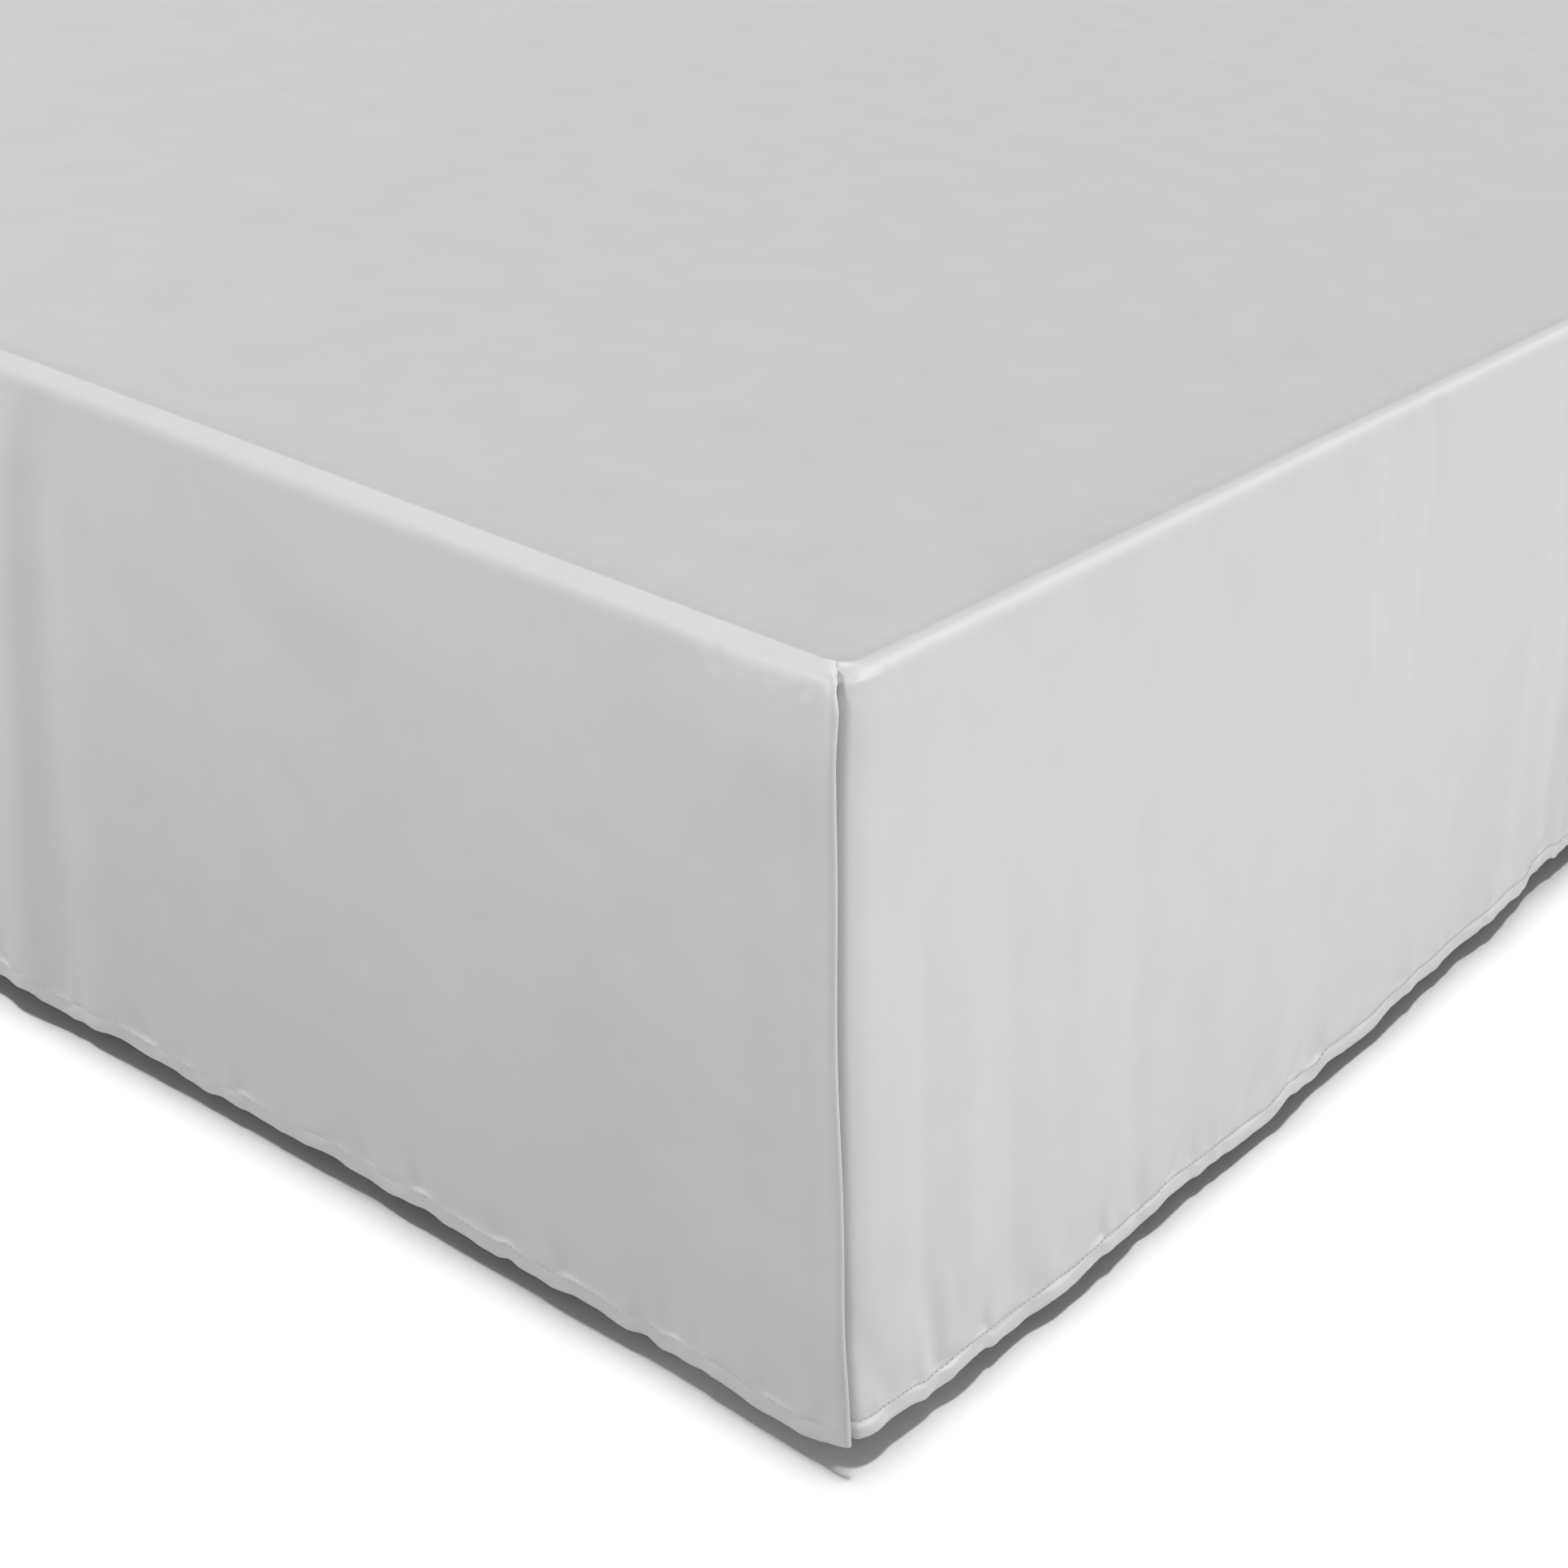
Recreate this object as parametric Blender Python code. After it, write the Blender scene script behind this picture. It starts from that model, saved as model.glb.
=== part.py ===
"""A tailored bed skirt on a plain bed base: a cloth deck, three drops and two corner pleats.

Metres, +Z up, the floor at z = 0. X runs across the bed and Y along it, with the foot at -Y.
The head, at +Y, has no drop. Each drop is worked out in its own terms and then set in place:
  along   distance along the drop from the foot corner where it starts
  depth   distance inward from the drop's outer face
  row     a level of the cloth, from the seam at the deck down to the hem
Every sheet is made as its middle surface, and a Solidify modifier gives it the cloth's thickness.
"""
import math
from collections import namedtuple

import bmesh
import bpy
from mathutils import Vector

# ---- Driving dimensions ----
BED_WIDTH = 1.524        # of the mattress that the skirt is cut for
BED_LENGTH = 2.032
DROP = 0.381             # along the cloth, from the deck's seam to the hem
HEM_CLEARANCE = 0.013    # from the hem to the floor
CLOTH = 0.0012           # thickness of every sheet
SEAT_GAP = 0.0003        # between pieces that touch
HEM_DEPTH = 0.011

# ---- How the drops hang ----
ROLL = 0.006             # radius of the turn from the deck's seam to the fall
SEAM_STEP = 0.0012       # the deck lies this far below the crest of that turn
DECK_CORNER = 0.007      # radius of the deck's foot corners, inside the folded ends of the drops
FOOT_TUCK = 0.0146       # the foot drop's hem swings in under the bed
SIDE_KICK = 0.0188       # a side drop's hem swings out at the foot corner
HEAD_KICK = 0.008        # and at the head end
KICK_POWER = 1.5         # the swing grows faster than the fall
WAVE_POWER = 1.8         # the hem's waves die away faster still, going up
FOLD_FADE = 0.12         # share of the fall over which a fold fades at its ends

# ---- Folded ends at the foot corners ----
FOLD_RADIUS = 0.0009     # of the cloth's middle surface, round the edge of a pleat
RETURN_LENGTH = 0.075    # of the layer turned back behind a drop
PLEAT_LENGTH = 0.070     # of each leg of the pleat behind the corner
PLEAT_GAP = 0.0004       # between the turned-back layer and the pleat
PLEAT_DEPTH = 1.5 * CLOTH + 2 * FOLD_RADIUS + PLEAT_GAP     # of the pleat's middle surface
PLEAT_CORNER = 0.0021    # radius of the pleat's middle surface at the corner
PLEAT_TOP, PLEAT_HEM = 0.010, 0.985     # shares of the fall where the pleat begins and ends
SHIFT_FADE = 0.060       # length over which a fold's set-back fades along the drop
ROUND_LENGTH = 0.034     # length over which the side drop rounds in to the corner

# ---- Bed base ----
BASE_INSET = 0.016       # from the drops' outer faces to the base's sides
BASE_HEAD_INSET = 0.006
BASE_CORNER = 0.040      # radius of its upright corners
BASE_EDGE = 0.010        # radius of its top and bottom edges
LEG_HEIGHT = 0.150
LEG_TOP, LEG_FOOT = 0.030, 0.022        # radii
LEG_INSET = 0.080        # from the drops' outer faces to a leg's axis

FALL = DROP - ROLL * math.pi / 2        # the straight part of the drop, below the turn
EDGE_HEIGHT = HEM_CLEARANCE + FALL      # where the turn ends and the straight fall begins
TOP = EDGE_HEIGHT + ROLL
DECK_TOP = TOP - SEAM_STEP
BASE_TOP = DECK_TOP - CLOTH - SEAT_GAP

Row = namedtuple("Row", "turn fall")    # degrees still to turn at the edge; share of the fall
End = namedtuple("End", "edge_setback crest_setback mid_setback hem_setback edge_round low_round")
Wave = namedtuple("Wave", "along out up")               # of the hem, against the drop's mean line
Fold = namedtuple("Fold", "along_top along_hem top bottom width out")   # top, bottom: shares of fall
Drop = namedtuple("Drop", "name start finish inward length waves folds finish_pleated end")

TURN_ROWS = [Row(90, 0.0), Row(60, 0.0), Row(30, 0.0)]
FALL_SHARES = [0.0, 0.07, 0.2, 0.36, 0.53, 0.7, 0.86, 1 - HEM_DEPTH / FALL, 1.0]
ROWS = TURN_ROWS + [Row(0, share) for share in FALL_SHARES]
PLEAT_ROWS = [Row(0, PLEAT_TOP)] + ROWS[4:-1] + [Row(0, PLEAT_HEM)]
PLEAT_STEPS = [PLEAT_LENGTH, 0.054, 0.034, 0.018]       # along each leg of the pleat, to the corner
RETURN_STEPS = [RETURN_LENGTH, 0.054, 0.034, 0.018, 0.008, 0.004]
COLUMN = 0.032           # greatest distance between two columns of a drop's face

# The fold of the foot drop stands in front; that of a side drop is tucked back behind it.
FRONT_END = End(0.0055, 0.0085, 0.0034, 0.0015, 0.0, 0.0)
TUCKED_END = End(0.0085, 0.0100, 0.0036, 0.0036, 0.0015, 0.0050)

FOOT_WAVES = [
    Wave(0.000, 0.0000, 0.0070), Wave(0.013, 0.0000, 0.0030), Wave(0.030, -0.0003, 0.0005),
    Wave(0.050, -0.0008, 0.0), Wave(0.100, -0.0025, 0.0), Wave(0.150, -0.0017, 0.0),
    Wave(0.200, 0.0000, 0.0), Wave(0.260, -0.0020, 0.0), Wave(0.320, -0.0028, 0.0),
    Wave(0.380, -0.0008, 0.0), Wave(0.440, 0.0002, 0.0), Wave(0.510, 0.0028, 0.0),
    Wave(0.560, 0.0042, 0.0), Wave(0.620, 0.0030, 0.0), Wave(0.690, -0.0012, 0.0),
    Wave(0.780, 0.0030, 0.0), Wave(0.870, -0.0020, 0.0), Wave(0.960, 0.0036, 0.0),
    Wave(1.060, -0.0012, 0.0), Wave(1.150, 0.0030, 0.0), Wave(1.260, -0.0024, 0.0),
    Wave(1.350, 0.0018, 0.0), Wave(1.440, -0.0010, 0.0), Wave(1.494, 0.0000, 0.0005),
    Wave(1.511, 0.0000, 0.0030), Wave(1.524, 0.0000, 0.0070),
]
RIGHT_WAVES = [
    Wave(0.000, 0.0000, 0.0100), Wave(0.012, -0.0002, 0.0060), Wave(0.030, -0.0008, 0.0040),
    Wave(0.060, 0.0002, 0.0010), Wave(0.090, 0.0010, 0.0), Wave(0.140, 0.0026, 0.0),
    Wave(0.200, 0.0043, 0.0), Wave(0.290, 0.0022, 0.0), Wave(0.335, 0.0045, 0.0),
    Wave(0.375, 0.0070, 0.0), Wave(0.420, 0.0040, 0.0), Wave(0.470, 0.0032, 0.0),
    Wave(0.520, 0.0040, 0.0), Wave(0.570, 0.0016, 0.0), Wave(0.620, 0.0005, 0.0),
    Wave(0.680, -0.0005, 0.0), Wave(0.760, -0.0033, 0.0), Wave(0.860, 0.0015, 0.0),
    Wave(0.970, -0.0030, 0.0), Wave(1.100, 0.0034, 0.0), Wave(1.220, -0.0020, 0.0),
    Wave(1.340, 0.0040, 0.0), Wave(1.470, -0.0025, 0.0), Wave(1.600, 0.0030, 0.0),
    Wave(1.730, -0.0020, 0.0), Wave(1.860, 0.0034, 0.0), Wave(1.950, 0.0010, 0.0),
    Wave(2.032, 0.0030, 0.0),
]
LEFT_WAVES = [
    Wave(0.000, 0.0000, 0.0090), Wave(0.012, 0.0000, 0.0055), Wave(0.030, -0.0005, 0.0030),
    Wave(0.060, 0.0004, 0.0008), Wave(0.110, 0.0030, 0.0), Wave(0.190, -0.0010, 0.0),
    Wave(0.280, 0.0045, 0.0), Wave(0.370, 0.0053, 0.0), Wave(0.470, 0.0010, 0.0),
    Wave(0.580, 0.0040, 0.0), Wave(0.690, -0.0024, 0.0), Wave(0.810, 0.0032, 0.0),
    Wave(0.930, -0.0026, 0.0), Wave(1.050, 0.0030, 0.0), Wave(1.190, 0.0042, 0.0),
    Wave(1.320, -0.0024, 0.0), Wave(1.450, 0.0030, 0.0), Wave(1.590, -0.0018, 0.0),
    Wave(1.720, 0.0034, 0.0), Wave(1.860, -0.0016, 0.0), Wave(1.950, 0.0020, 0.0),
    Wave(2.032, 0.0024, 0.0),
]
FOOT_FOLDS = [
    Fold(0.330, 0.190, 0.25, 1.0, 0.060, -0.0020), Fold(0.490, 0.520, 0.05, 0.95, 0.030, -0.0018),
    Fold(0.510, 0.560, 0.05, 1.0, 0.028, 0.0022), Fold(0.760, 0.790, 0.30, 1.0, 0.045, 0.0022),
    Fold(0.980, 0.950, 0.20, 1.0, 0.040, 0.0020), Fold(1.240, 1.300, 0.10, 1.0, 0.050, -0.0020),
]
RIGHT_FOLDS = [
    Fold(0.062, 0.056, 0.40, 1.0, 0.022, -0.0012), Fold(0.090, 0.092, 0.45, 1.0, 0.022, 0.0012),
    Fold(0.125, 0.128, 0.50, 1.0, 0.026, -0.0014), Fold(0.182, 0.186, 0.40, 1.0, 0.030, 0.0012),
    Fold(0.226, 0.234, 0.45, 1.0, 0.028, -0.0014), Fold(0.330, 0.300, 0.55, 1.0, 0.034, 0.0014),
    Fold(0.440, 0.460, 0.0, 0.35, 0.026, 0.0012), Fold(0.500, 0.520, 0.0, 0.40, 0.024, -0.0012),
    Fold(0.672, 0.650, 0.0, 1.0, 0.040, 0.0024), Fold(0.740, 0.735, 0.1, 1.0, 0.036, -0.0024),
    Fold(1.060, 1.090, 0.2, 1.0, 0.050, 0.0024), Fold(1.450, 1.470, 0.3, 1.0, 0.055, -0.0022),
    Fold(1.760, 1.730, 0.2, 1.0, 0.050, 0.0022),
]
LEFT_FOLDS = [
    Fold(0.150, 0.180, 0.35, 1.0, 0.034, -0.0016), Fold(0.390, 0.420, 0.10, 1.0, 0.045, 0.0016),
    Fold(0.690, 0.680, 0.30, 1.0, 0.045, -0.0022), Fold(1.010, 1.060, 0.15, 1.0, 0.050, 0.0024),
    Fold(1.330, 1.310, 0.30, 1.0, 0.050, -0.0022), Fold(1.700, 1.720, 0.20, 1.0, 0.050, 0.0024),
]


def clear_scene():
    for thing in list(bpy.data.objects):
        bpy.data.objects.remove(thing, do_unlink=True)


def make_material(name, colour, roughness):
    made = bpy.data.materials.new(name)
    made.use_nodes = True
    shader = made.node_tree.nodes["Principled BSDF"]
    shader.inputs["Base Color"].default_value = (*colour, 1.0)
    shader.inputs["Roughness"].default_value = roughness
    shader.inputs["Metallic"].default_value = 0.0
    return made


def make_object(name, mesh, material):
    made = bpy.data.objects.new(name, mesh)
    made.data.materials.append(material)
    bpy.context.scene.collection.objects.link(made)
    return made


def corner_post(side, fall):
    """Where the foot drop and a side drop would meet, seen from above, on their outer faces."""
    swing = fall ** KICK_POWER
    return Vector((side * (BED_WIDTH / 2 + SIDE_KICK * swing), -BED_LENGTH / 2 + FOOT_TUCK * swing))


def head_post(side, fall):
    """Where a side drop ends at the head."""
    return Vector((side * (BED_WIDTH / 2 + HEAD_KICK * fall ** KICK_POWER), BED_LENGTH / 2))


def ease(share):
    """Rises softly from 0 to 1 as share goes from 0 to 1."""
    share = min(max(share, 0.0), 1.0)
    return share * share * (3 - 2 * share)


def read_waves(waves, along):
    """The hem's swing outward and lift at a place along the drop, eased between the table's rows."""
    for left, right in zip(waves, waves[1:]):
        if along <= right.along:
            mix = ease((along - left.along) / (right.along - left.along))
            return left.out + (right.out - left.out) * mix, left.up + (right.up - left.up) * mix
    return waves[-1].out, waves[-1].up


def fold_height(fold, along, fall):
    """How far one soft vertical fold stands out at a place on the drop."""
    middle = fold.along_top + (fold.along_hem - fold.along_top) * fall
    across = math.exp(-((along - middle) / (fold.width / 2)) ** 2)
    into = ease((fall - fold.top + FOLD_FADE) / FOLD_FADE) if fold.top > 0 else 1.0
    out_of = ease((fold.bottom + FOLD_FADE - fall) / FOLD_FADE) if fold.bottom < 1 else 1.0
    return fold.out * across * into * out_of * min(1.0, fall / FOLD_FADE)


def place(drop, along, depth, row):
    """The point of a drop's cloth at a distance along it, a depth behind its face and a row."""
    start, finish = drop.start(row.fall), drop.finish(row.fall)
    swing, lift = read_waves(drop.waves, along)
    out = swing * row.fall ** WAVE_POWER
    out += sum(fold_height(fold, along, row.fall) for fold in drop.folds)
    reach = ROLL - depth
    turn = math.radians(row.turn)
    inward = ROLL - reach * math.cos(turn) - out
    spot = start + (finish - start) * (along / drop.length) + drop.inward * inward
    height = EDGE_HEIGHT - row.fall * FALL + lift * row.fall ** 6 + reach * math.sin(turn)
    return Vector((spot.x, spot.y, height))


def end_setback(end, row):
    """How far a folded end stands back from the corner at a row."""
    turned = 1 - math.cos(math.radians(row.turn))
    if row.turn > 0:
        return end.edge_setback + (end.crest_setback - end.edge_setback) * turned
    if row.fall < 0.07:
        return end.edge_setback + (end.mid_setback - end.edge_setback) * ease(row.fall / 0.07)
    return end.mid_setback + (end.hem_setback - end.mid_setback) * ease((row.fall - 0.4) / 0.6)


def end_round(end, row, along):
    """How far the drop's face rounds inward near its folded end."""
    most = end.edge_round + (end.low_round - end.edge_round) * ease(row.fall / 0.15)
    most *= math.cos(math.radians(row.turn))
    return most * max(0.0, 1 - along / ROUND_LENGTH) ** 2


def near_end(end, row, along, depth):
    """Moves a place on a plain drop to where it is near the drop's folded end."""
    moved = along + end_setback(end, row) * max(0.0, 1 - along / SHIFT_FADE)
    return moved, depth + end_round(end, row, along)


def folded_end(end, row):
    """(along, depth) of a folded end: down the turned-back layer, round the fold, onto the face."""
    centre = FOLD_RADIUS + CLOTH / 2
    path = [(step, centre + FOLD_RADIUS) for step in RETURN_STEPS]
    for k in range(5):
        angle = math.pi * k / 4
        path.append((centre - FOLD_RADIUS * math.sin(angle), centre + FOLD_RADIUS * math.cos(angle)))
    path += [(step, CLOTH / 2) for step in reversed(RETURN_STEPS)]
    return [near_end(end, row, along, depth) for along, depth in path]


def drop_path(drop, row):
    """(along, depth) of every column of a drop at one row."""
    path = folded_end(drop.end, row)
    last = drop.length - (RETURN_LENGTH if drop.finish_pleated else 0.0)
    count = math.ceil((last - RETURN_LENGTH) / COLUMN)
    spacing = (last - RETURN_LENGTH) / count
    path += [(RETURN_LENGTH + spacing * k, CLOTH / 2) for k in range(1, count + 1)]
    if drop.finish_pleated:
        mirrored = [(drop.length - along, depth) for along, depth in reversed(folded_end(drop.end, row))]
        path += mirrored[1:]
    return path


def sheet_mesh(name, grid):
    """A mesh of the middle surface, from rows of points with the same number in each."""
    shape = bmesh.new()
    verts = [[shape.verts.new(point) for point in line] for line in grid]
    for upper, lower in zip(verts, verts[1:]):
        for k in range(len(upper) - 1):
            shape.faces.new((upper[k], lower[k], lower[k + 1], upper[k + 1]))
    bmesh.ops.recalc_face_normals(shape, faces=shape.faces)
    mesh = bpy.data.meshes.new(name)
    shape.to_mesh(mesh)
    shape.free()
    mesh.shade_smooth()
    return mesh


def make_sheet(name, grid, material):
    made = make_object(name, sheet_mesh(name, grid), material)
    skin = made.modifiers.new("cloth_thickness", "SOLIDIFY")
    skin.thickness = CLOTH
    skin.offset = 0.0
    skin.use_even_offset = True
    return made


def make_drop(drop, material):
    grid = [[place(drop, along, depth, row) for along, depth in drop_path(drop, row)] for row in ROWS]
    return make_sheet(drop.name, grid, material)


def pleat_line(foot, side_drop, at_finish, row):
    """One row of the pleat that closes a foot corner from behind, from its foot leg to its side leg."""
    across = PLEAT_DEPTH + end_round(TUCKED_END, row, 0.0)

    def on_foot(along, depth):
        return place(foot, foot.length - along if at_finish else along, depth, row)

    line = [on_foot(*near_end(FRONT_END, row, step, PLEAT_DEPTH)) for step in PLEAT_STEPS]
    for k in range(4):
        angle = math.pi / 2 * k / 3
        along = across + PLEAT_CORNER * (1 - math.sin(angle))
        line.append(on_foot(along, PLEAT_DEPTH + PLEAT_CORNER * (1 - math.cos(angle))))
    for step in reversed(PLEAT_STEPS):
        line.append(place(side_drop, *near_end(TUCKED_END, row, step, PLEAT_DEPTH), row))
    return line


def make_pleat(name, foot, side_drop, at_finish, material):
    grid = [pleat_line(foot, side_drop, at_finish, row) for row in PLEAT_ROWS]
    return make_sheet(name, grid, material)


def rounded_rectangle(west, east, south, north, radius, steps=5):
    """Corner points of a rectangle with round corners, seen from above, anticlockwise."""
    outline = []
    for quarter, (x, y) in enumerate(((east, north), (west, north), (west, south), (east, south))):
        centre = Vector((x - radius if x == east else x + radius, y - radius if y == north else y + radius))
        for k in range(steps + 1):
            angle = math.pi / 2 * (quarter + k / steps)
            outline.append(centre + radius * Vector((math.cos(angle), math.sin(angle))))
    return outline


def stacked_rings(name, rings):
    """A closed solid from rings of points, each with the same count, from the bottom one up."""
    shape = bmesh.new()
    loops = [[shape.verts.new(point) for point in ring] for ring in rings]
    for lower, upper in zip(loops, loops[1:]):
        for k in range(len(lower)):
            after = (k + 1) % len(lower)
            shape.faces.new((lower[k], lower[after], upper[after], upper[k]))
    shape.faces.new(list(reversed(loops[0])))
    shape.faces.new(loops[-1])
    mesh = bpy.data.meshes.new(name)
    shape.to_mesh(mesh)
    shape.free()
    return mesh


def make_deck(material):
    """The flat cloth that lies on the base, under the mattress."""
    edge = ROLL + SEAT_GAP
    outline = rounded_rectangle(
        -BED_WIDTH / 2 + edge, BED_WIDTH / 2 - edge, -BED_LENGTH / 2 + edge, BED_LENGTH / 2,
        DECK_CORNER)
    rings = [[Vector((p.x, p.y, z)) for p in outline] for z in (DECK_TOP - CLOTH, DECK_TOP)]
    return make_object("deck", stacked_rings("deck", rings), material)


def make_base(material):
    """A plain padded box with rounded edges, on which the skirt lies."""
    rings = []
    for bottom in (True, False):
        for k in range(4):
            angle = math.pi / 2 * (k / 3)
            inset = BASE_EDGE * (1 - (math.sin(angle) if bottom else math.cos(angle)))
            if bottom:
                z = LEG_HEIGHT + BASE_EDGE * (1 - math.cos(angle))
            else:
                z = BASE_TOP - BASE_EDGE * (1 - math.sin(angle))
            side = BED_WIDTH / 2 - BASE_INSET - inset
            south = -BED_LENGTH / 2 + BASE_INSET + inset
            north = BED_LENGTH / 2 - BASE_HEAD_INSET - inset
            outline = rounded_rectangle(-side, side, south, north, BASE_CORNER - inset)
            rings.append([Vector((p.x, p.y, z)) for p in outline])
    made = make_object("box_base", stacked_rings("box_base", rings), material)
    made.data.shade_smooth()
    made.data.set_sharp_from_angle(angle=math.radians(50))
    return made


def make_leg(name, x, y, material):
    """A plain tapered round leg, standing on the floor."""
    shape = bmesh.new()
    bmesh.ops.create_cone(
        shape, cap_ends=True, segments=16, radius1=LEG_FOOT, radius2=LEG_TOP,
        depth=LEG_HEIGHT - SEAT_GAP)
    bmesh.ops.translate(shape, verts=shape.verts, vec=(0, 0, (LEG_HEIGHT - SEAT_GAP) / 2))
    mesh = bpy.data.meshes.new(name)
    shape.to_mesh(mesh)
    shape.free()
    mesh.shade_smooth()
    mesh.set_sharp_from_angle(angle=math.radians(40))
    made = make_object(name, mesh, material)
    made.location = (x, y, 0)
    return made


def make_legs(material):
    x = BED_WIDTH / 2 - LEG_INSET
    y = BED_LENGTH / 2 - LEG_INSET
    for row_name, row_y in (("foot", -y), ("middle", 0.0), ("head", y)):
        for side_name, side in (("left", -1), ("right", 1)):
            make_leg(f"leg_{row_name}_{side_name}", side * x, row_y, material)


def build():
    clear_scene()
    cloth = make_material("brushed_cloth", (0.60, 0.60, 0.60), 0.85)
    ticking = make_material("base_cover", (0.55, 0.54, 0.52), 0.90)
    wood = make_material("leg_wood", (0.10, 0.07, 0.05), 0.55)
    foot = Drop(
        "foot_drop", lambda f: corner_post(1, f), lambda f: corner_post(-1, f), Vector((0, 1)),
        BED_WIDTH, FOOT_WAVES, FOOT_FOLDS, True, FRONT_END)
    right = Drop(
        "side_drop_right", lambda f: corner_post(1, f), lambda f: head_post(1, f), Vector((-1, 0)),
        BED_LENGTH, RIGHT_WAVES, RIGHT_FOLDS, False, TUCKED_END)
    left = Drop(
        "side_drop_left", lambda f: corner_post(-1, f), lambda f: head_post(-1, f), Vector((1, 0)),
        BED_LENGTH, LEFT_WAVES, LEFT_FOLDS, False, TUCKED_END)
    make_deck(cloth)
    for drop in (foot, right, left):
        make_drop(drop, cloth)
    make_pleat("corner_pleat_right", foot, right, False, cloth)
    make_pleat("corner_pleat_left", foot, left, True, cloth)
    make_base(ticking)
    make_legs(wood)


build()
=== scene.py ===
# %% [markdown]
# # A tailored bed skirt, dressed for its picture
#
# A bed skirt is a flat deck cloth that lies between a mattress and its base, with a straight drop
# sewn on across the foot and along each side. The drops hide the base, the legs and whatever is
# kept under the bed. At each foot corner the skirt is split, and a pleat of the same cloth closes
# the split from behind, so the corner stays sharp but can still open.
#
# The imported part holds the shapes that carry, rest and collide. This lesson dresses it. It keeps
# the part's sizes and main folds and makes every cloth again as a thinner, finer sheet, with its
# hem, its seam, its stitches and the small creases that make it read as cloth.

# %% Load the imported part
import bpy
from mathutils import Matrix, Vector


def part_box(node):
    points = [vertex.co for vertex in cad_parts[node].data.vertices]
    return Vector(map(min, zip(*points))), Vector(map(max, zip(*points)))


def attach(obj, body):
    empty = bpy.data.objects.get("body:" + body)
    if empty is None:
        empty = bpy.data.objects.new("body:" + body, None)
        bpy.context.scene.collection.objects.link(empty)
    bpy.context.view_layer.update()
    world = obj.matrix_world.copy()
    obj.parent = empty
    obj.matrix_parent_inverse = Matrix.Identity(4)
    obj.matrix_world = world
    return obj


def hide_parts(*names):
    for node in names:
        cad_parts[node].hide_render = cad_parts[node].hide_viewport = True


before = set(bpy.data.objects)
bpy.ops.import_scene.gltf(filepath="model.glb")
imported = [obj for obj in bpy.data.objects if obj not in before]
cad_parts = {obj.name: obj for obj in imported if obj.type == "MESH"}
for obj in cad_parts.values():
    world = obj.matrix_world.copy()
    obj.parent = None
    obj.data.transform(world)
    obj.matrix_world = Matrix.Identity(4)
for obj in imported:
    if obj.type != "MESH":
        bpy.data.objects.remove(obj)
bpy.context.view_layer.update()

# %% Modules
import math
from collections import namedtuple

import bpy
import numpy as np
from mathutils import Matrix, Vector

# %% [markdown]
# ## Sizes
#
# A skirt is cut for one size of mattress and one height of bed. Two sizes say how wide and long
# the bed is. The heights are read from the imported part, so the cloth made here can't drift away
# from the solids that it stands for.

# %% Driving sizes
BED_WIDTH = 1.524
BED_LENGTH = 2.032
HEM_HEIGHT = 0.013  # of the hem above the floor
ROLL = 0.006  # radius of the turn at the top edge of a drop
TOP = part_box("foot_drop")[1].z
DECK_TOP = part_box("deck")[1].z
EDGE_HEIGHT = TOP - ROLL
FALL = EDGE_HEIGHT - HEM_HEIGHT
print(f"The skirt's top edge is at {TOP:.4f} m, and each drop falls {FALL:.4f} m below its turn")

# %% [markdown]
# ## The camera
#
# The picture looks down at the foot corner on the right, from hip height and close by. The camera
# is placed from that corner of the bed. A long lens keeps the drops nearly parallel. The small
# shift moves the frame a little without tipping the view.

# %% Place the camera
CAMERA_FROM_CORNER = Vector((0.5282, -0.7224, 0.8013))
CAMERA_YAW = math.radians(-36.32)  # from looking along the bed, towards its left side
CAMERA_PITCH = math.radians(26.70)  # downward
CAMERA_ROLL = math.radians(3.7)
LENS = 60.45
SENSOR = 36.0
SHIFT = (-0.0331, -0.0083)

lens = bpy.data.cameras.new("camera")
lens.lens = LENS
lens.sensor_width = SENSOR
lens.shift_x, lens.shift_y = SHIFT
camera = bpy.data.objects.new("camera", lens)
camera.location = Vector((BED_WIDTH / 2, -BED_LENGTH / 2, 0)) + CAMERA_FROM_CORNER
level_turn = Matrix.Rotation(-CAMERA_YAW, 3, "Z") @ Matrix.Rotation(math.pi / 2 - CAMERA_PITCH, 3, "X")
camera.rotation_euler = (level_turn @ Matrix.Rotation(CAMERA_ROLL, 3, "Z")).to_euler()
bpy.context.scene.collection.objects.link(camera)
bpy.context.scene.camera = camera
print("Camera at", [round(value, 3) for value in camera.location])

# %% [markdown]
# ## How a drop hangs
#
# A drop isn't flat. Its hem swings out or in a little at the corners, the hem runs in long waves,
# and each soft fold stands out from the cloth by a few millimetres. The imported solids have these
# forms already. The same short tables, in millimetres, give them here, so that each fine sheet lies
# on its solid.
#
# A place on a drop is given by its distance along the drop from the foot corner, its depth behind
# the outer face, and its share of the fall, 0 at the top edge and 1 at the hem.

# %% The swing of the hem
FOOT_TUCK = 0.0146  # the foot drop's hem swings in under the bed
SIDE_KICK = 0.0188  # a side drop's hem swings out at the foot corner
HEAD_KICK = 0.008
KICK_POWER = 1.5
WAVE_POWER = 1.8
FOLD_FADE = 0.12


def corner_post(side, fall):
    """Where the foot drop and a side drop would meet, seen from above."""
    swing = fall ** KICK_POWER
    across = side * (BED_WIDTH / 2 + SIDE_KICK * swing)
    return np.stack([across, -BED_LENGTH / 2 + FOOT_TUCK * swing], axis=-1)


def head_post(side, fall):
    """Where a side drop ends at the head, seen from above."""
    across = side * (BED_WIDTH / 2 + HEAD_KICK * fall ** KICK_POWER)
    return np.stack([across, np.full_like(across, BED_LENGTH / 2)], axis=-1)


print("At the hem the corner stands at", np.round(corner_post(1, np.ones(1))[0], 4))

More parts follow.
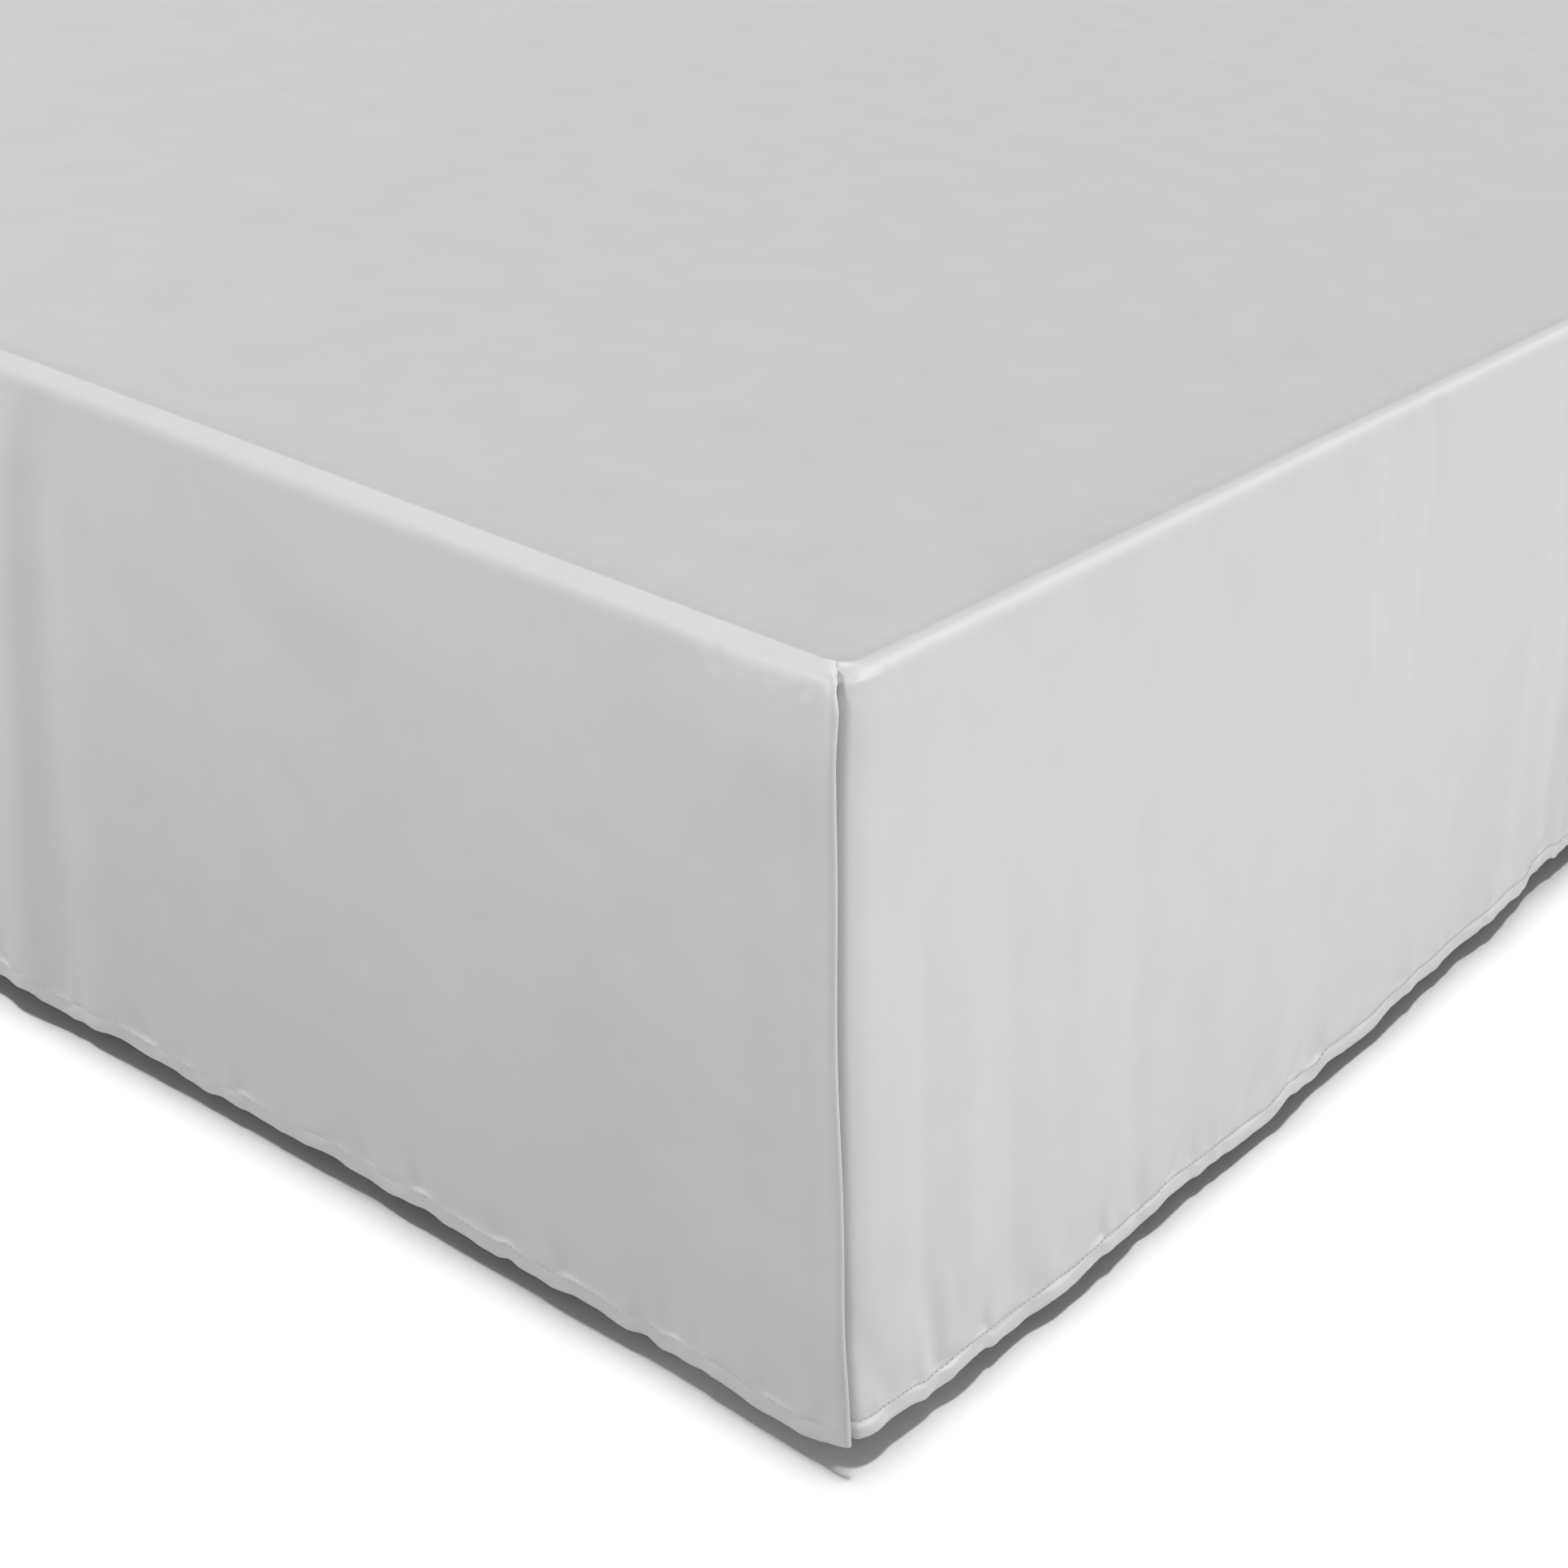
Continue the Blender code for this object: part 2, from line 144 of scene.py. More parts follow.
# %% The long waves of the hem
MM = 0.001
Wave = namedtuple("Wave", "along out up", defaults=[0.0])


def in_metres(kind, rows, shares=()):
    """A table written in millimetres as named rows in metres. Columns of shares stay as written."""
    return [kind(*(value if k in shares else value * MM for k, value in enumerate(row))) for row in rows]


FOOT_WAVES = in_metres(Wave, [
    (0, 0, 7), (13, 0, 3), (30, -0.3, 0.5), (50, -0.8), (100, -2.5), (150, -1.7), (200, 0), (260, -2),
    (320, -2.8), (380, -0.8), (440, 0.2), (510, 2.8), (560, 4.2), (620, 3), (690, -1.2), (780, 3),
    (870, -2), (960, 3.6), (1060, -1.2), (1150, 3), (1260, -2.4), (1350, 1.8), (1440, -1),
    (1494, 0, 0.5), (1511, 0, 3), (1524, 0, 7),
])
RIGHT_WAVES = in_metres(Wave, [
    (0, 0, 10), (12, -0.2, 6), (30, -0.8, 4), (60, 0.2, 1), (90, 1), (140, 2.6), (200, 4.3), (290, 2.2),
    (335, 4.5), (375, 7), (420, 4), (470, 3.2), (520, 4), (570, 1.6), (620, 0.5), (680, -0.5),
    (760, -3.3), (860, 1.5), (970, -3), (1100, 3.4), (1220, -2), (1340, 4), (1470, -2.5), (1600, 3),
    (1730, -2), (1860, 3.4), (1950, 1), (2032, 3),
])
LEFT_WAVES = in_metres(Wave, [
    (0, 0, 9), (12, 0, 5.5), (30, -0.5, 3), (60, 0.4, 0.8), (110, 3), (190, -1), (280, 4.5), (370, 5.3),
    (470, 1), (580, 4), (690, -2.4), (810, 3.2), (930, -2.6), (1050, 3), (1190, 4.2), (1320, -2.4),
    (1450, 3), (1590, -1.8), (1720, 3.4), (1860, -1.6), (1950, 2), (2032, 2.4),
])


def ease(share):
    """Rises softly from 0 to 1 as share goes from 0 to 1."""
    share = np.clip(share, 0.0, 1.0)
    return share * share * (3 - 2 * share)


def eased_between(places, values, along):
    """Values eased from one place of a table to the next."""
    places, values = np.asarray(places), np.asarray(values)
    before = np.clip(np.searchsorted(places, along, side="right") - 1, 0, len(places) - 2)
    mix = ease((along - places[before]) / (places[before + 1] - places[before]))
    return values[before] + (values[before + 1] - values[before]) * mix


def read_waves(waves, along):
    """How far the hem stands out and how far it is lifted, at places along a drop."""
    places, outs, ups = zip(*waves)
    return eased_between(places, outs, along), eased_between(places, ups, along)


print("At 0.2 m the right hem stands out", float(read_waves(RIGHT_WAVES, np.array([0.2]))[0][0]), "m")

# %% The soft vertical folds
Fold = namedtuple("Fold", "along_top along_hem top bottom width out")  # top, bottom: shares of fall
FOOT_FOLDS = in_metres(Fold, [
    (330, 190, 0.25, 1.0, 60, -2), (490, 520, 0.05, 0.95, 30, -1.8), (510, 560, 0.05, 1.0, 28, 2.2),
    (760, 790, 0.3, 1.0, 45, 2.2), (980, 950, 0.2, 1.0, 40, 2), (1240, 1300, 0.1, 1.0, 50, -2),
], shares=(2, 3))
RIGHT_FOLDS = in_metres(Fold, [
    (62, 56, 0.4, 1.0, 22, -1.2), (90, 92, 0.45, 1.0, 22, 1.2), (125, 128, 0.5, 1.0, 26, -1.4),
    (182, 186, 0.4, 1.0, 30, 1.2), (226, 234, 0.45, 1.0, 28, -1.4), (330, 300, 0.55, 1.0, 34, 1.4),
    (440, 460, 0.0, 0.35, 26, 1.2), (500, 520, 0.0, 0.4, 24, -1.2), (672, 650, 0.0, 1.0, 40, 2.4),
    (740, 735, 0.1, 1.0, 36, -2.4), (1060, 1090, 0.2, 1.0, 50, 2.4), (1450, 1470, 0.3, 1.0, 55, -2.2),
    (1760, 1730, 0.2, 1.0, 50, 2.2),
], shares=(2, 3))
LEFT_FOLDS = in_metres(Fold, [
    (150, 180, 0.35, 1.0, 34, -1.6), (390, 420, 0.1, 1.0, 45, 1.6), (690, 680, 0.3, 1.0, 45, -2.2),
    (1010, 1060, 0.15, 1.0, 50, 2.4), (1330, 1310, 0.3, 1.0, 50, -2.2), (1700, 1720, 0.2, 1.0, 50, 2.4),
], shares=(2, 3))


def fold_height(fold, along, fall):
    """How far one soft vertical fold stands out at places on a drop."""
    middle = fold.along_top + (fold.along_hem - fold.along_top) * fall
    across = np.exp(-((along - middle) / (fold.width / 2)) ** 2)
    into = ease((fall - fold.top + FOLD_FADE) / FOLD_FADE) if fold.top > 0 else 1.0
    out_of = ease((fold.bottom + FOLD_FADE - fall) / FOLD_FADE) if fold.bottom < 1 else 1.0
    return fold.out * across * into * out_of * np.minimum(1.0, fall / FOLD_FADE)


print("Folds:", len(FOOT_FOLDS), "at the foot,", len(RIGHT_FOLDS), "right,", len(LEFT_FOLDS), "left")

# %% [markdown]
# ## Creases, puckers and ripples
#
# The finer relief is what makes a smooth grey sheet read as cloth. A crease is a soft trough or
# ridge between two points, left by folding and handling. A pucker is a short one that starts at a
# line of stitches, where the thread pulls the cloth in. A lift is a place where the hem is pulled
# up. A ripple is the fine unevenness of a sewn edge. The first three have a row each in a table.
# Ripples are many, so a seeded random line gives them, and they come out the same each time.

# %% Creases placed one by one
Crease = namedtuple("Crease", "along height along_end height_end width out")
FOOT_CREASES = in_metres(Crease, [
    (50, 372, 50, 170, 12, 0.6), (14, 380, 13, 30, 5, -0.4), (22, 345, 50, 345, 30, 1.5),
    (9.2, 386, 5.5, 345, 2.6, 0.5), (15, 78, 55, 85, 32, 1.6), (324, 232, 286, 151, 8, -0.5),
    (342, 191, 294, 130, 7, 0.4), (132, 270, 116, 225, 8, -0.4), (465, 304, 412, 262, 9, -0.5),
    (70, 390, 64, 376, 3, -0.4), (37, 390, 37, 378, 2, -0.3), (18, 390, 20, 378, 2, -0.3),
    (860, 300, 800, 160, 12, -0.8), (1120, 330, 1150, 200, 10, 0.8), (1400, 280, 1360, 120, 12, -0.8),
])
RIGHT_CREASES = in_metres(Crease, [
    (45, 215, 42, 50, 10, 0.4), (100, 215, 100, 70, 11, 0.5), (205, 185, 208, 70, 12, 0.5),
    (434, 384, 447, 350, 6, -0.5), (491, 382, 521, 312, 7, -0.6), (323, 129, 304, 65, 7, -0.6),
    (394, 98, 364, 41, 7, -0.7), (530, 134, 490, 72, 8, -0.6), (586, 140, 580, 80, 9, -0.6),
    (741, 110, 735, 50, 9, -0.8), (28, 390, 26, 374, 2, -0.4), (60, 390, 56, 372, 3, -0.4),
    (107, 390, 104, 374, 3, -0.4), (10, 389, 5, 384, 1.2, -0.4), (8, 388, 12, 389, 1, -0.4),
    (6, 386, 9, 385, 1, -0.4), (52, 60, 58, 22, 4.5, 0.7), (62, 64, 67, 26, 4, -0.8),
    (73, 70, 77, 30, 4.5, 0.7), (16, 70, 26, 24, 8, -1), (900, 330, 930, 220, 10, 0.8),
    (1200, 250, 1160, 110, 12, -0.9), (1560, 340, 1590, 240, 10, 0.8), (1880, 300, 1850, 120, 12, -0.9),
])
LEFT_CREASES = in_metres(Crease, [
    (80, 300, 95, 190, 10, -0.6), (300, 260, 270, 120, 10, 0.7), (560, 350, 590, 240, 9, -0.7),
    (860, 220, 820, 90, 12, -0.8), (1210, 330, 1240, 200, 10, 0.8), (1540, 250, 1500, 100, 11, -0.8),
    (1820, 340, 1840, 210, 10, 0.7),
])


def crease_height(crease, along, height):
    """How far one crease stands out: a soft trough or ridge with rounded ends."""
    run = np.array([crease.along_end - crease.along, crease.height_end - crease.height])
    share = ((along - crease.along) * run[0] + (height - crease.height) * run[1]) / (run @ run)
    share = np.clip(share, 0, 1)
    near = np.hypot(along - crease.along - share * run[0], height - crease.height - share * run[1])
    return crease.out * np.exp(-(near / crease.width) ** 2)


print("Creases:", len(FOOT_CREASES) + len(RIGHT_CREASES) + len(LEFT_CREASES))

# %% Puckers above the hem's stitches
STITCH_RISE = 0.0092  # of the stitch line above the hem's edge
PUCKER_START = 0.003  # height over which a pucker grows above the stitches
Pucker = namedtuple("Pucker", "along lean tall width out")
RIGHT_PUCKERS = in_metres(Pucker, [
    (17, 2, 10, 4, -1.1), (50, 6, 14, 4.5, -1.3), (75, 3, 16, 4, -1.4), (100, 6, 18, 5, -1.3),
    (161, 8, 14, 5, -1.3), (197, 6, 20, 4.5, -1.4), (231, 8, 24, 5, -1.4), (266, 10, 18, 5, -1.3),
    (340, 10, 22, 6, -1.3), (388, 12, 18, 5, -1.4), (420, 8, 20, 5.5, -1.3), (476, 10, 22, 6, -1.4),
    (651, 12, 26, 6, -1.6), (736, 12, 24, 6, -1.6),
])
FOOT_PUCKERS = in_metres(Pucker, [
    (45, 4, 14, 4.5, -1.1), (100, 6, 20, 5, -1.3), (165, 4, 18, 4.5, -1.3), (209, 6, 16, 5, -1.1),
    (261, 6, 24, 5, -1.4), (298, 8, 20, 5.5, -1.1), (389, 8, 22, 5.5, -1.3), (459, 10, 24, 6, -1.3),
    (576, 10, 20, 5.5, -1.4),
])


def pucker_height(pucker, along, above_hem):
    """How far one pucker stands out above the stitches that pull it."""
    rise = above_hem - STITCH_RISE
    middle = pucker.along + pucker.lean * rise / pucker.tall
    across = np.exp(-((along - middle) / pucker.width) ** 2)
    fade = ease(rise / PUCKER_START) * np.exp(-(np.maximum(rise, 0) / pucker.tall) ** 2)
    return pucker.out * across * fade


print("Puckers placed by hand:", len(RIGHT_PUCKERS) + len(FOOT_PUCKERS))

# %% The fine unevenness of sewn edges
RIPPLE_FADE = 0.030  # how far a ripple of the hem reaches up the cloth


def uneven_line(seed, pitch, size):
    """A function that gives a soft random height along an edge, with knots about a pitch apart."""
    dice = np.random.default_rng(seed)
    count = int(2.2 * BED_LENGTH / pitch)
    places = -0.05 + np.cumsum(dice.uniform(0.4 * pitch, 1.6 * pitch, count))
    heights = dice.uniform(-size, size, count)
    return lambda along: eased_between(places, heights, along)


def broad_unevenness(seed, count=16, slope=0.0035):
    """A function that gives the faint hollows and swells of hanging cloth over a whole drop."""
    dice = np.random.default_rng(seed)
    lengths = dice.uniform(0.055, 0.24, count)
    leans = dice.normal(0.0, 0.45, count)
    phases = dice.uniform(0, 2 * math.pi, count)

    def height(along, up):
        total = 0
        for length, lean, phase in zip(lengths, leans, phases):
            travel = along * math.cos(lean) + up * math.sin(lean)
            total = total + slope * length / (2 * math.pi) * np.sin(2 * math.pi * travel / length + phase)
        return total

    return height


Lift = namedtuple("Lift", "along up")
FOOT_LIFTS = in_metres(Lift, [
    (3, -0.5), (11, 0.5), (19, -1.5), (47, -1.5), (76, 0.5), (102, -0.5), (111, -2), (120, 1),
    (134, -1), (149, 1), (163, 1.5), (180, -1), (199, -1.5), (205, 0.5), (214, -2), (246, -0.5),
    (260, 1.5), (273, 0.5), (288, -2), (311, -1), (328, 1.5), (349, -0.5), (374, -1), (406, 0),
    (418, -2), (432, -1.5), (447, 1.5), (462, 0.5), (485, 2.5), (509, -1), (524, -1), (545, 1),
    (554, 3.5), (570, 2.5), (600, -0.5),
])
RIGHT_LIFTS = in_metres(Lift, [
    (3, -1.5), (15, -2), (46, 0), (62, -2), (76, -0.5), (79, 1.5), (90, 2.5), (116, -1.5), (132, -2.5),
    (158, -0.5), (170, -1.5), (186, 0.5), (205, 1), (220, -0.5), (236, -3), (249, -0.5), (263, 1.5),
    (296, -0.5), (310, 0), (346, -2), (365, -2.5), (381, 2.5), (387, 3.5), (400, 0.5), (424, -3),
    (436, 1.5), (460, -1.5), (482, -2), (513, 2), (540, 1.5), (575, -1), (595, 1), (610, -0.5),
    (663, 2), (716, -3.5), (725, 2), (741, 2), (751, 4), (761, 1), (775, 3), (800, -0.5),
])
LEFT_LIFTS = in_metres(Lift, [
    (20, -1), (45, 0.6), (80, -1.4), (92, 1.2), (140, -0.9), (151, 1.5), (196, -1.2), (232, 0.8),
    (239, 1.6), (290, -1.6), (301, 1), (352, -0.8), (364, 1.4), (420, -1.5), (433, 1.2), (480, -0.6),
])


def hem_line(lifts, seed):
    """How far the hem is pulled up: by a table where it has one, and by a seeded line past it."""
    places, ups = zip(*lifts)
    beyond, fine = uneven_line(seed, 0.024, 0.0016), uneven_line(seed + 50, 0.006, 0.0003)

    def up(along):
        return np.where(along < places[-1], eased_between(places, ups, along), beyond(along)) + fine(along)

    return up


print("One ripple at 0.1 m:", round(float(uneven_line(1, 0.02, 0.001)(np.array([0.1]))[0]), 5), "m")

# %% [markdown]
# ## One place function for every drop
#
# All of this meets in one function. It takes whole arrays of places, since numpy works out a
# hundred thousand points as fast as a loop does a few hundred. A row of the sheet has five facts:
# its turn over the top edge, its share of the fall, its curl down into the seam, how far it lies
# back inside the hem and how far it dips there. Near a folded corner the cloth stands back from
# the corner and is rounded inward.

# %% Rows and ends
Row = namedtuple("Row", "turn fall curl back dip")
# How far back a folded end stands at five heights, how much the cloth rounds inward beside it, and
# how late the setback grows over the edge: 1 is evenly, less is early.
End = namedtuple("End", "edge_setback crest_setback mid_setback hem_setback tip_setback round lateness")
FRONT_END = End(0.0073, 0.0116, 0.0036, 0.0015, 0.0020, 0.0010, 1.0)
TUCKED_END = End(0.0045, 0.0079, 0.0050, 0.0062, 0.0060, 0.0057, 0.6)
HEMMED_END = End(0.0, 0.0, 0.0, 0.0, 0.0, 0.0, 1.0)
SETBACK_SHARES = (0.0, 0.035, 0.30, 0.40, 0.65, 0.93, 0.97)  # shares of the fall
SHIFT_FADE = 0.060  # how far along the drop the setback fades out
ROUND_LENGTH = 0.028  # how far along the drop the rounding reaches
FOLD_REACH = 0.005  # how far its steep part reaches
FACE = 0.0006  # depth of the cloth's middle surface behind the drop's outer face
SHARP_FOLD = 0.00070  # radius of a pressed fold
SOFT_FOLD = 0.0009  # radius where the fold takes in the turned-up hem
SEAM_CURL = 0.0005  # radius of the curl from the crest down into the seam
SEAM_CORNER = 0.012  # radius of the seam's corner, seen from above

Drop = namedtuple(
    "Drop", "start finish inward length edge waves folds creases puckers ripple hem_lift seam "
    "low_pucker broad groove first_end last_end last_return")


def end_setback(end, rows):
    """How far a folded end stands back from the corner."""
    towards_crest = (rows.turn / 90) ** end.lateness
    over_edge = end.edge_setback + (end.crest_setback - end.edge_setback) * towards_crest
    setbacks = (end.edge_setback, 0.68 * end.edge_setback, end.mid_setback, end.mid_setback,
                end.hem_setback, end.hem_setback, end.tip_setback)
    return np.where(rows.turn > 0, over_edge, eased_between(SETBACK_SHARES, setbacks, rows.fall))


def end_round(end, from_fold):
    """How far a drop's face rounds inward near its folded end, steeply at the fold itself."""
    broad = np.maximum(0.0, 1 - from_fold / ROUND_LENGTH) ** 3
    steep = np.maximum(0.0, 1 - from_fold / FOLD_REACH) ** 2
    return end.round * (broad + 0.55 * steep)


def corner_sweep(end, along):
    """How far the seam bends inward as it turns the corner of the deck."""
    if end.crest_setback == 0:
        return 0.0
    into = np.clip(ROLL + SEAM_CORNER - along, 0, 0.98 * SEAM_CORNER)
    return SEAM_CORNER - np.sqrt(SEAM_CORNER ** 2 - into ** 2)


def bend_inward(end, rows, along, over):
    """How far the cloth near a folded end lies inward: rounded on the fall, swept at the seam."""
    return end_round(end, along - end_setback(end, rows)) * (1 - over) + corner_sweep(end, along) * over


def near_end(end, rows, along):
    """Moves places on a plain drop to where they are near its folded end."""
    return along + end_setback(end, rows) * np.maximum(0.0, 1 - along / SHIFT_FADE)


print("A folded end stands back", FRONT_END.crest_setback, "m at the crest")

# %% [markdown]
# ## The curve over the edge
#
# Real cloth doesn't turn over an edge in a perfect quarter circle. It bends most near the seam and
# eases into the fall far below, so the curve is summed from small steps whose length fades. The
# foot drop has the softer bend, and it meets the seam at a flatter slope.

# %% Two edge curves
SEAM_IN = 0.0062  # of the seam, from the drop's outer face
SEAM_UP = 0.0066  # of the cloth at the seam, above EDGE_HEIGHT
BEND_STEPS = 144
SEAM_STEPS = 12
EdgeCurve = namedtuple("EdgeCurve", "turn inward up")


def edge_curve(bend, tail, tail_turn, seam_turn):
    """The cloth's own curve from the plain fall up to the seam, where it has turned seam_turn degrees.

    It bends with the radius bend, eases into the fall with a far wider one, and runs straight on to
    the seam.
    """
    turn = np.radians(np.linspace(0, seam_turn, BEND_STEPS + 1))
    step = (bend + tail * np.exp(-turn / tail_turn)) * turn[1]
    flat = max(SEAM_IN - (step * np.sin(turn)).sum(), 0) / math.sin(turn[-1])
    turn = np.concatenate([turn, np.full(SEAM_STEPS, turn[-1])])
    step = np.concatenate([step, np.full(SEAM_STEPS, flat / SEAM_STEPS + 1e-9)])
    up = np.cumsum(step * np.cos(turn))
    return EdgeCurve(turn, np.cumsum(step * np.sin(turn)), up - up[-1] + SEAM_UP)


SOFT_EDGE = edge_curve(0.0040, 0.048, 0.15, 48)
TIGHT_EDGE = edge_curve(0.0028, 0.050, 0.13, 76)
print("The soft edge begins", -round(SOFT_EDGE.up[0], 4), "m below the drop's turn")

# %% Place the cloth
HEM_DEPTH = 0.011  # of the layer that is turned up
HEM_SHARE = HEM_DEPTH / FALL
PUCKER_REACH = 0.005  # from the stitches to where the small puckers are deepest
GROOVE_WIDTH = 0.0011  # of the groove that the stitches press into the cloth
BROAD_FADE = 0.15  # share of the fall where the broad hollows and swells are full
LIFT_POWER = 6  # a lift of the hem fades up the fall with this power of its share
SEAM_FADE = 0.008  # how far the seam's unevenness reaches down the cloth


def relief(drop, along, fall):
    """All that stands out from the plain hanging drop, folds to ripples."""
    above_hem = (1 - fall) * FALL
    height = HEM_HEIGHT + above_hem
    out = sum(fold_height(fold, along, fall) for fold in drop.folds)
    out = out + sum(crease_height(crease, along, height) for crease in drop.creases)
    out = out + sum(pucker_height(pucker, along, above_hem) for pucker in drop.puckers)
    out = out + drop.broad(along, height) * ease(fall / BROAD_FADE)
    out = out + drop.ripple(along) * np.exp(-above_hem / RIPPLE_FADE)
    from_stitches = np.abs(above_hem - STITCH_RISE) / PUCKER_REACH
    out = out + drop.low_pucker(along) * from_stitches * np.exp(1 - from_stitches)
    groove = np.exp(-((above_hem - STITCH_RISE) / GROOVE_WIDTH) ** 2)
    return out - drop.groove * groove


def read_edge(curve, rows):
    """Where each row lies on the curve over the edge: its turn, how far inward and how high."""
    inward_steps, up_steps = np.diff(curve.inward, prepend=0), np.diff(curve.up, prepend=curve.up[0])
    travel = np.cumsum(np.hypot(inward_steps, up_steps))
    steps = travel / travel[-1]
    at_edge = np.interp(0.0, curve.up, steps)
    on_edge = at_edge + (1 - at_edge) * rows.turn / 90
    on_fall = np.interp(-rows.fall * FALL, curve.up, steps)
    spot = np.where(rows.turn > 0, on_edge, on_fall)
    up = np.where(rows.turn > 0, np.interp(spot, steps, curve.up), -rows.fall * FALL)
    return np.interp(spot, steps, curve.turn), np.interp(spot, steps, curve.inward), up


def place(drop, along, depth, rows):
    """The points of a drop's cloth at distances along it, depths behind its face and rows."""
    start, finish = drop.start(rows.fall), drop.finish(rows.fall)
    swing, lift = read_waves(drop.waves, along)
    turn, edge_in, edge_up = read_edge(drop.edge, rows)
    curl = np.radians(rows.curl)
    seam = drop.seam(along) * np.exp(np.minimum(edge_up, 0) / SEAM_FADE)
    high = EDGE_HEIGHT + edge_up
    over_edge = sum(crease_height(crease, along, high) for crease in drop.creases)
    raised = np.where(rows.turn > 0, over_edge, relief(drop, along, rows.fall))
    out = seam + raised - depth
    inward = edge_in - out * np.cos(turn) - swing * rows.fall ** WAVE_POWER + SEAM_CURL * np.sin(curl)
    inward = inward + bend_inward(drop.first_end, rows, along, edge_in / SEAM_IN)
    inward = inward + bend_inward(drop.last_end, rows, drop.length - along, edge_in / SEAM_IN)
    share = (along / drop.length)[..., None]
    spot = start + (finish - start) * share + np.array(drop.inward) * inward[..., None]
    lift = (lift + drop.hem_lift(along)) * rows.fall ** LIFT_POWER
    height = EDGE_HEIGHT + edge_up + lift + out * np.sin(turn)
    height = height - SEAM_CURL * (1 - np.cos(curl)) - rows.dip
    return np.concatenate([spot, height[..., None]], axis=-1)


print("The hem takes", round(HEM_SHARE, 4), "of each fall")

# %% Rows of a drop
SHEET = 0.0004  # thickness of the real cloth
HEM_GAP = 0.00055  # from a drop's face to the layer that is turned up behind it
HEM_DIP = 0.0003  # of the bend at the hem, below the end of the fall


def as_rows(rows):
    """A list of rows as one Row of columns, ready to be combined with places along a drop."""
    table = np.array(rows)
    return Row(*[table[:, k][:, None] for k in range(len(Row._fields))])


def drop_rows():
    """Down from the seam, over the top edge, down the fall, round the hem and up inside it."""
    seam = [Row(90, 0, curl, 0, 0) for curl in (80, 60, 40, 20)]
    edge = [Row(turn, 0, 0, 0, 0) for turn in (90, 80, 70, 60, 50, 40, 30, 20, 10)]
    near_top = np.concatenate([np.linspace(0, 0.024, 9)[:-1], np.linspace(0.024, 0.07, 10)[:-1]])
    middle = np.linspace(0.07, 0.88, 36)[:-1]
    round_stitches = np.array([0.0045, 0.003, 0.0018, 0.0009, 0, -0.0009, -0.0018, -0.003])
    at_stitches = 1 - (STITCH_RISE + round_stitches) / FALL
    near_hem = np.concatenate([np.linspace(0.88, 0.96, 15), at_stitches, [0.986, 0.990, 0.995, 1.0]])
    fall = [Row(0, share, 0, 0, 0) for share in [*near_top, *middle, *near_hem]]
    around = [(45, 0.15), (90, 0.5), (135, 0.85)]
    bend = [Row(0, 1, 0, HEM_GAP * back, HEM_DIP * math.sin(math.radians(angle))) for angle, back in around]
    inside = [Row(0, share, 0, HEM_GAP, 0) for share in np.linspace(1.0, 1 - HEM_SHARE, 6)]
    return as_rows(seam + edge + fall + bend + inside)


ROWS = drop_rows()
print("Rows from the seam down to the hem:", int((ROWS.back == 0).sum()))

# %% Columns of a drop
RETURN_LENGTH = 0.075  # of the layer that is turned back at a foot corner
HEAD_RETURN = 0.012  # of the narrow hem at the head
FINE_REACH = 0.88  # the drops are finest over this length from the foot corner
FOLD_START = 0.0010  # where the flat face begins, along from a folded end
FINE_STEP, COARSE_STEP = 0.0030, 0.0105
END_STEP, STEP_GROWTH = 0.0008, 0.05  # the step at an end, and how it grows with the distance from there
Columns = namedtuple("Columns", "along sine cosine from_finish")


def folded_columns(return_length):
    """Down the turned-back layer, round the fold, and a little way onto the face."""
    steps = np.geomspace(FOLD_START, return_length, max(6, int(return_length / 0.004)))
    back = [(step, 0.0, 1.0) for step in steps[::-1]]
    bend = [(FOLD_START, math.sin(angle), math.cos(angle)) for angle in np.linspace(0, math.pi, 9)[1:-1]]
    return back + bend


def face_places(length):
    """Distances along the face: close together near the ends, finest near the foot corner."""
    along, places = FOLD_START, []
    while along < length - FOLD_START:
        places.append(along)
        widest = FINE_STEP if along < FINE_REACH else COARSE_STEP
        along += min(END_STEP + STEP_GROWTH * min(along, length - along), widest)
    return places


def drop_columns(length, last_return):
    """All columns of a drop: the foot corner's fold, the face, and the fold or hem at its last end."""
    face = [(along, 0.0, -1.0) for along in face_places(length)]
    start = [(*column, 0) for column in folded_columns(RETURN_LENGTH) + face]
    finish = [(*column, 1) for column in folded_columns(last_return)[::-1]]
    return Columns(*np.array(start + finish).T[:, None, :])


print("Columns in the foot drop:", drop_columns(BED_WIDTH, RETURN_LENGTH).along.shape[1])

# %% Points of a whole drop
HEM_TAPER = 0.010  # height over which a fold widens above the hem
LOOSE_FROM = 0.012  # how far behind the fold the turned-back layer is fully loose


def drop_grid(drop):
    """Every point of a drop's middle surface, rows by columns.

    The fold is widest where it takes in the turned-up hem and where the turned-back layer hangs loose.
    """
    columns = drop_columns(drop.length, drop.last_return)
    takes_hem = ease((ROWS.fall - 1 + 2 * HEM_SHARE) / (HEM_TAPER / FALL))
    loose = ease((columns.along - FOLD_START) / LOOSE_FROM) * ease(ROWS.fall / 0.08)
    radius = SHARP_FOLD + (SOFT_FOLD - SHARP_FOLD) * np.maximum(takes_hem, loose)
    plain = columns.along - (radius - ROWS.back) * columns.sine
    depth = FACE + radius + (radius - ROWS.back) * columns.cosine
    from_start = np.where(columns.from_finish > 0, 1.0, plain)
    from_finish = np.where(columns.from_finish > 0, plain, drop.length - plain)
    near_start = near_end(drop.first_end, ROWS, from_start)
    near_finish = near_end(drop.last_end, ROWS, from_finish)
    along = np.where(from_finish < drop.length / 2, drop.length - near_finish, near_start)
    return place(drop, along, depth, ROWS)


print("Each drop is worked out as", ROWS.fall.shape[0], "rows of points")

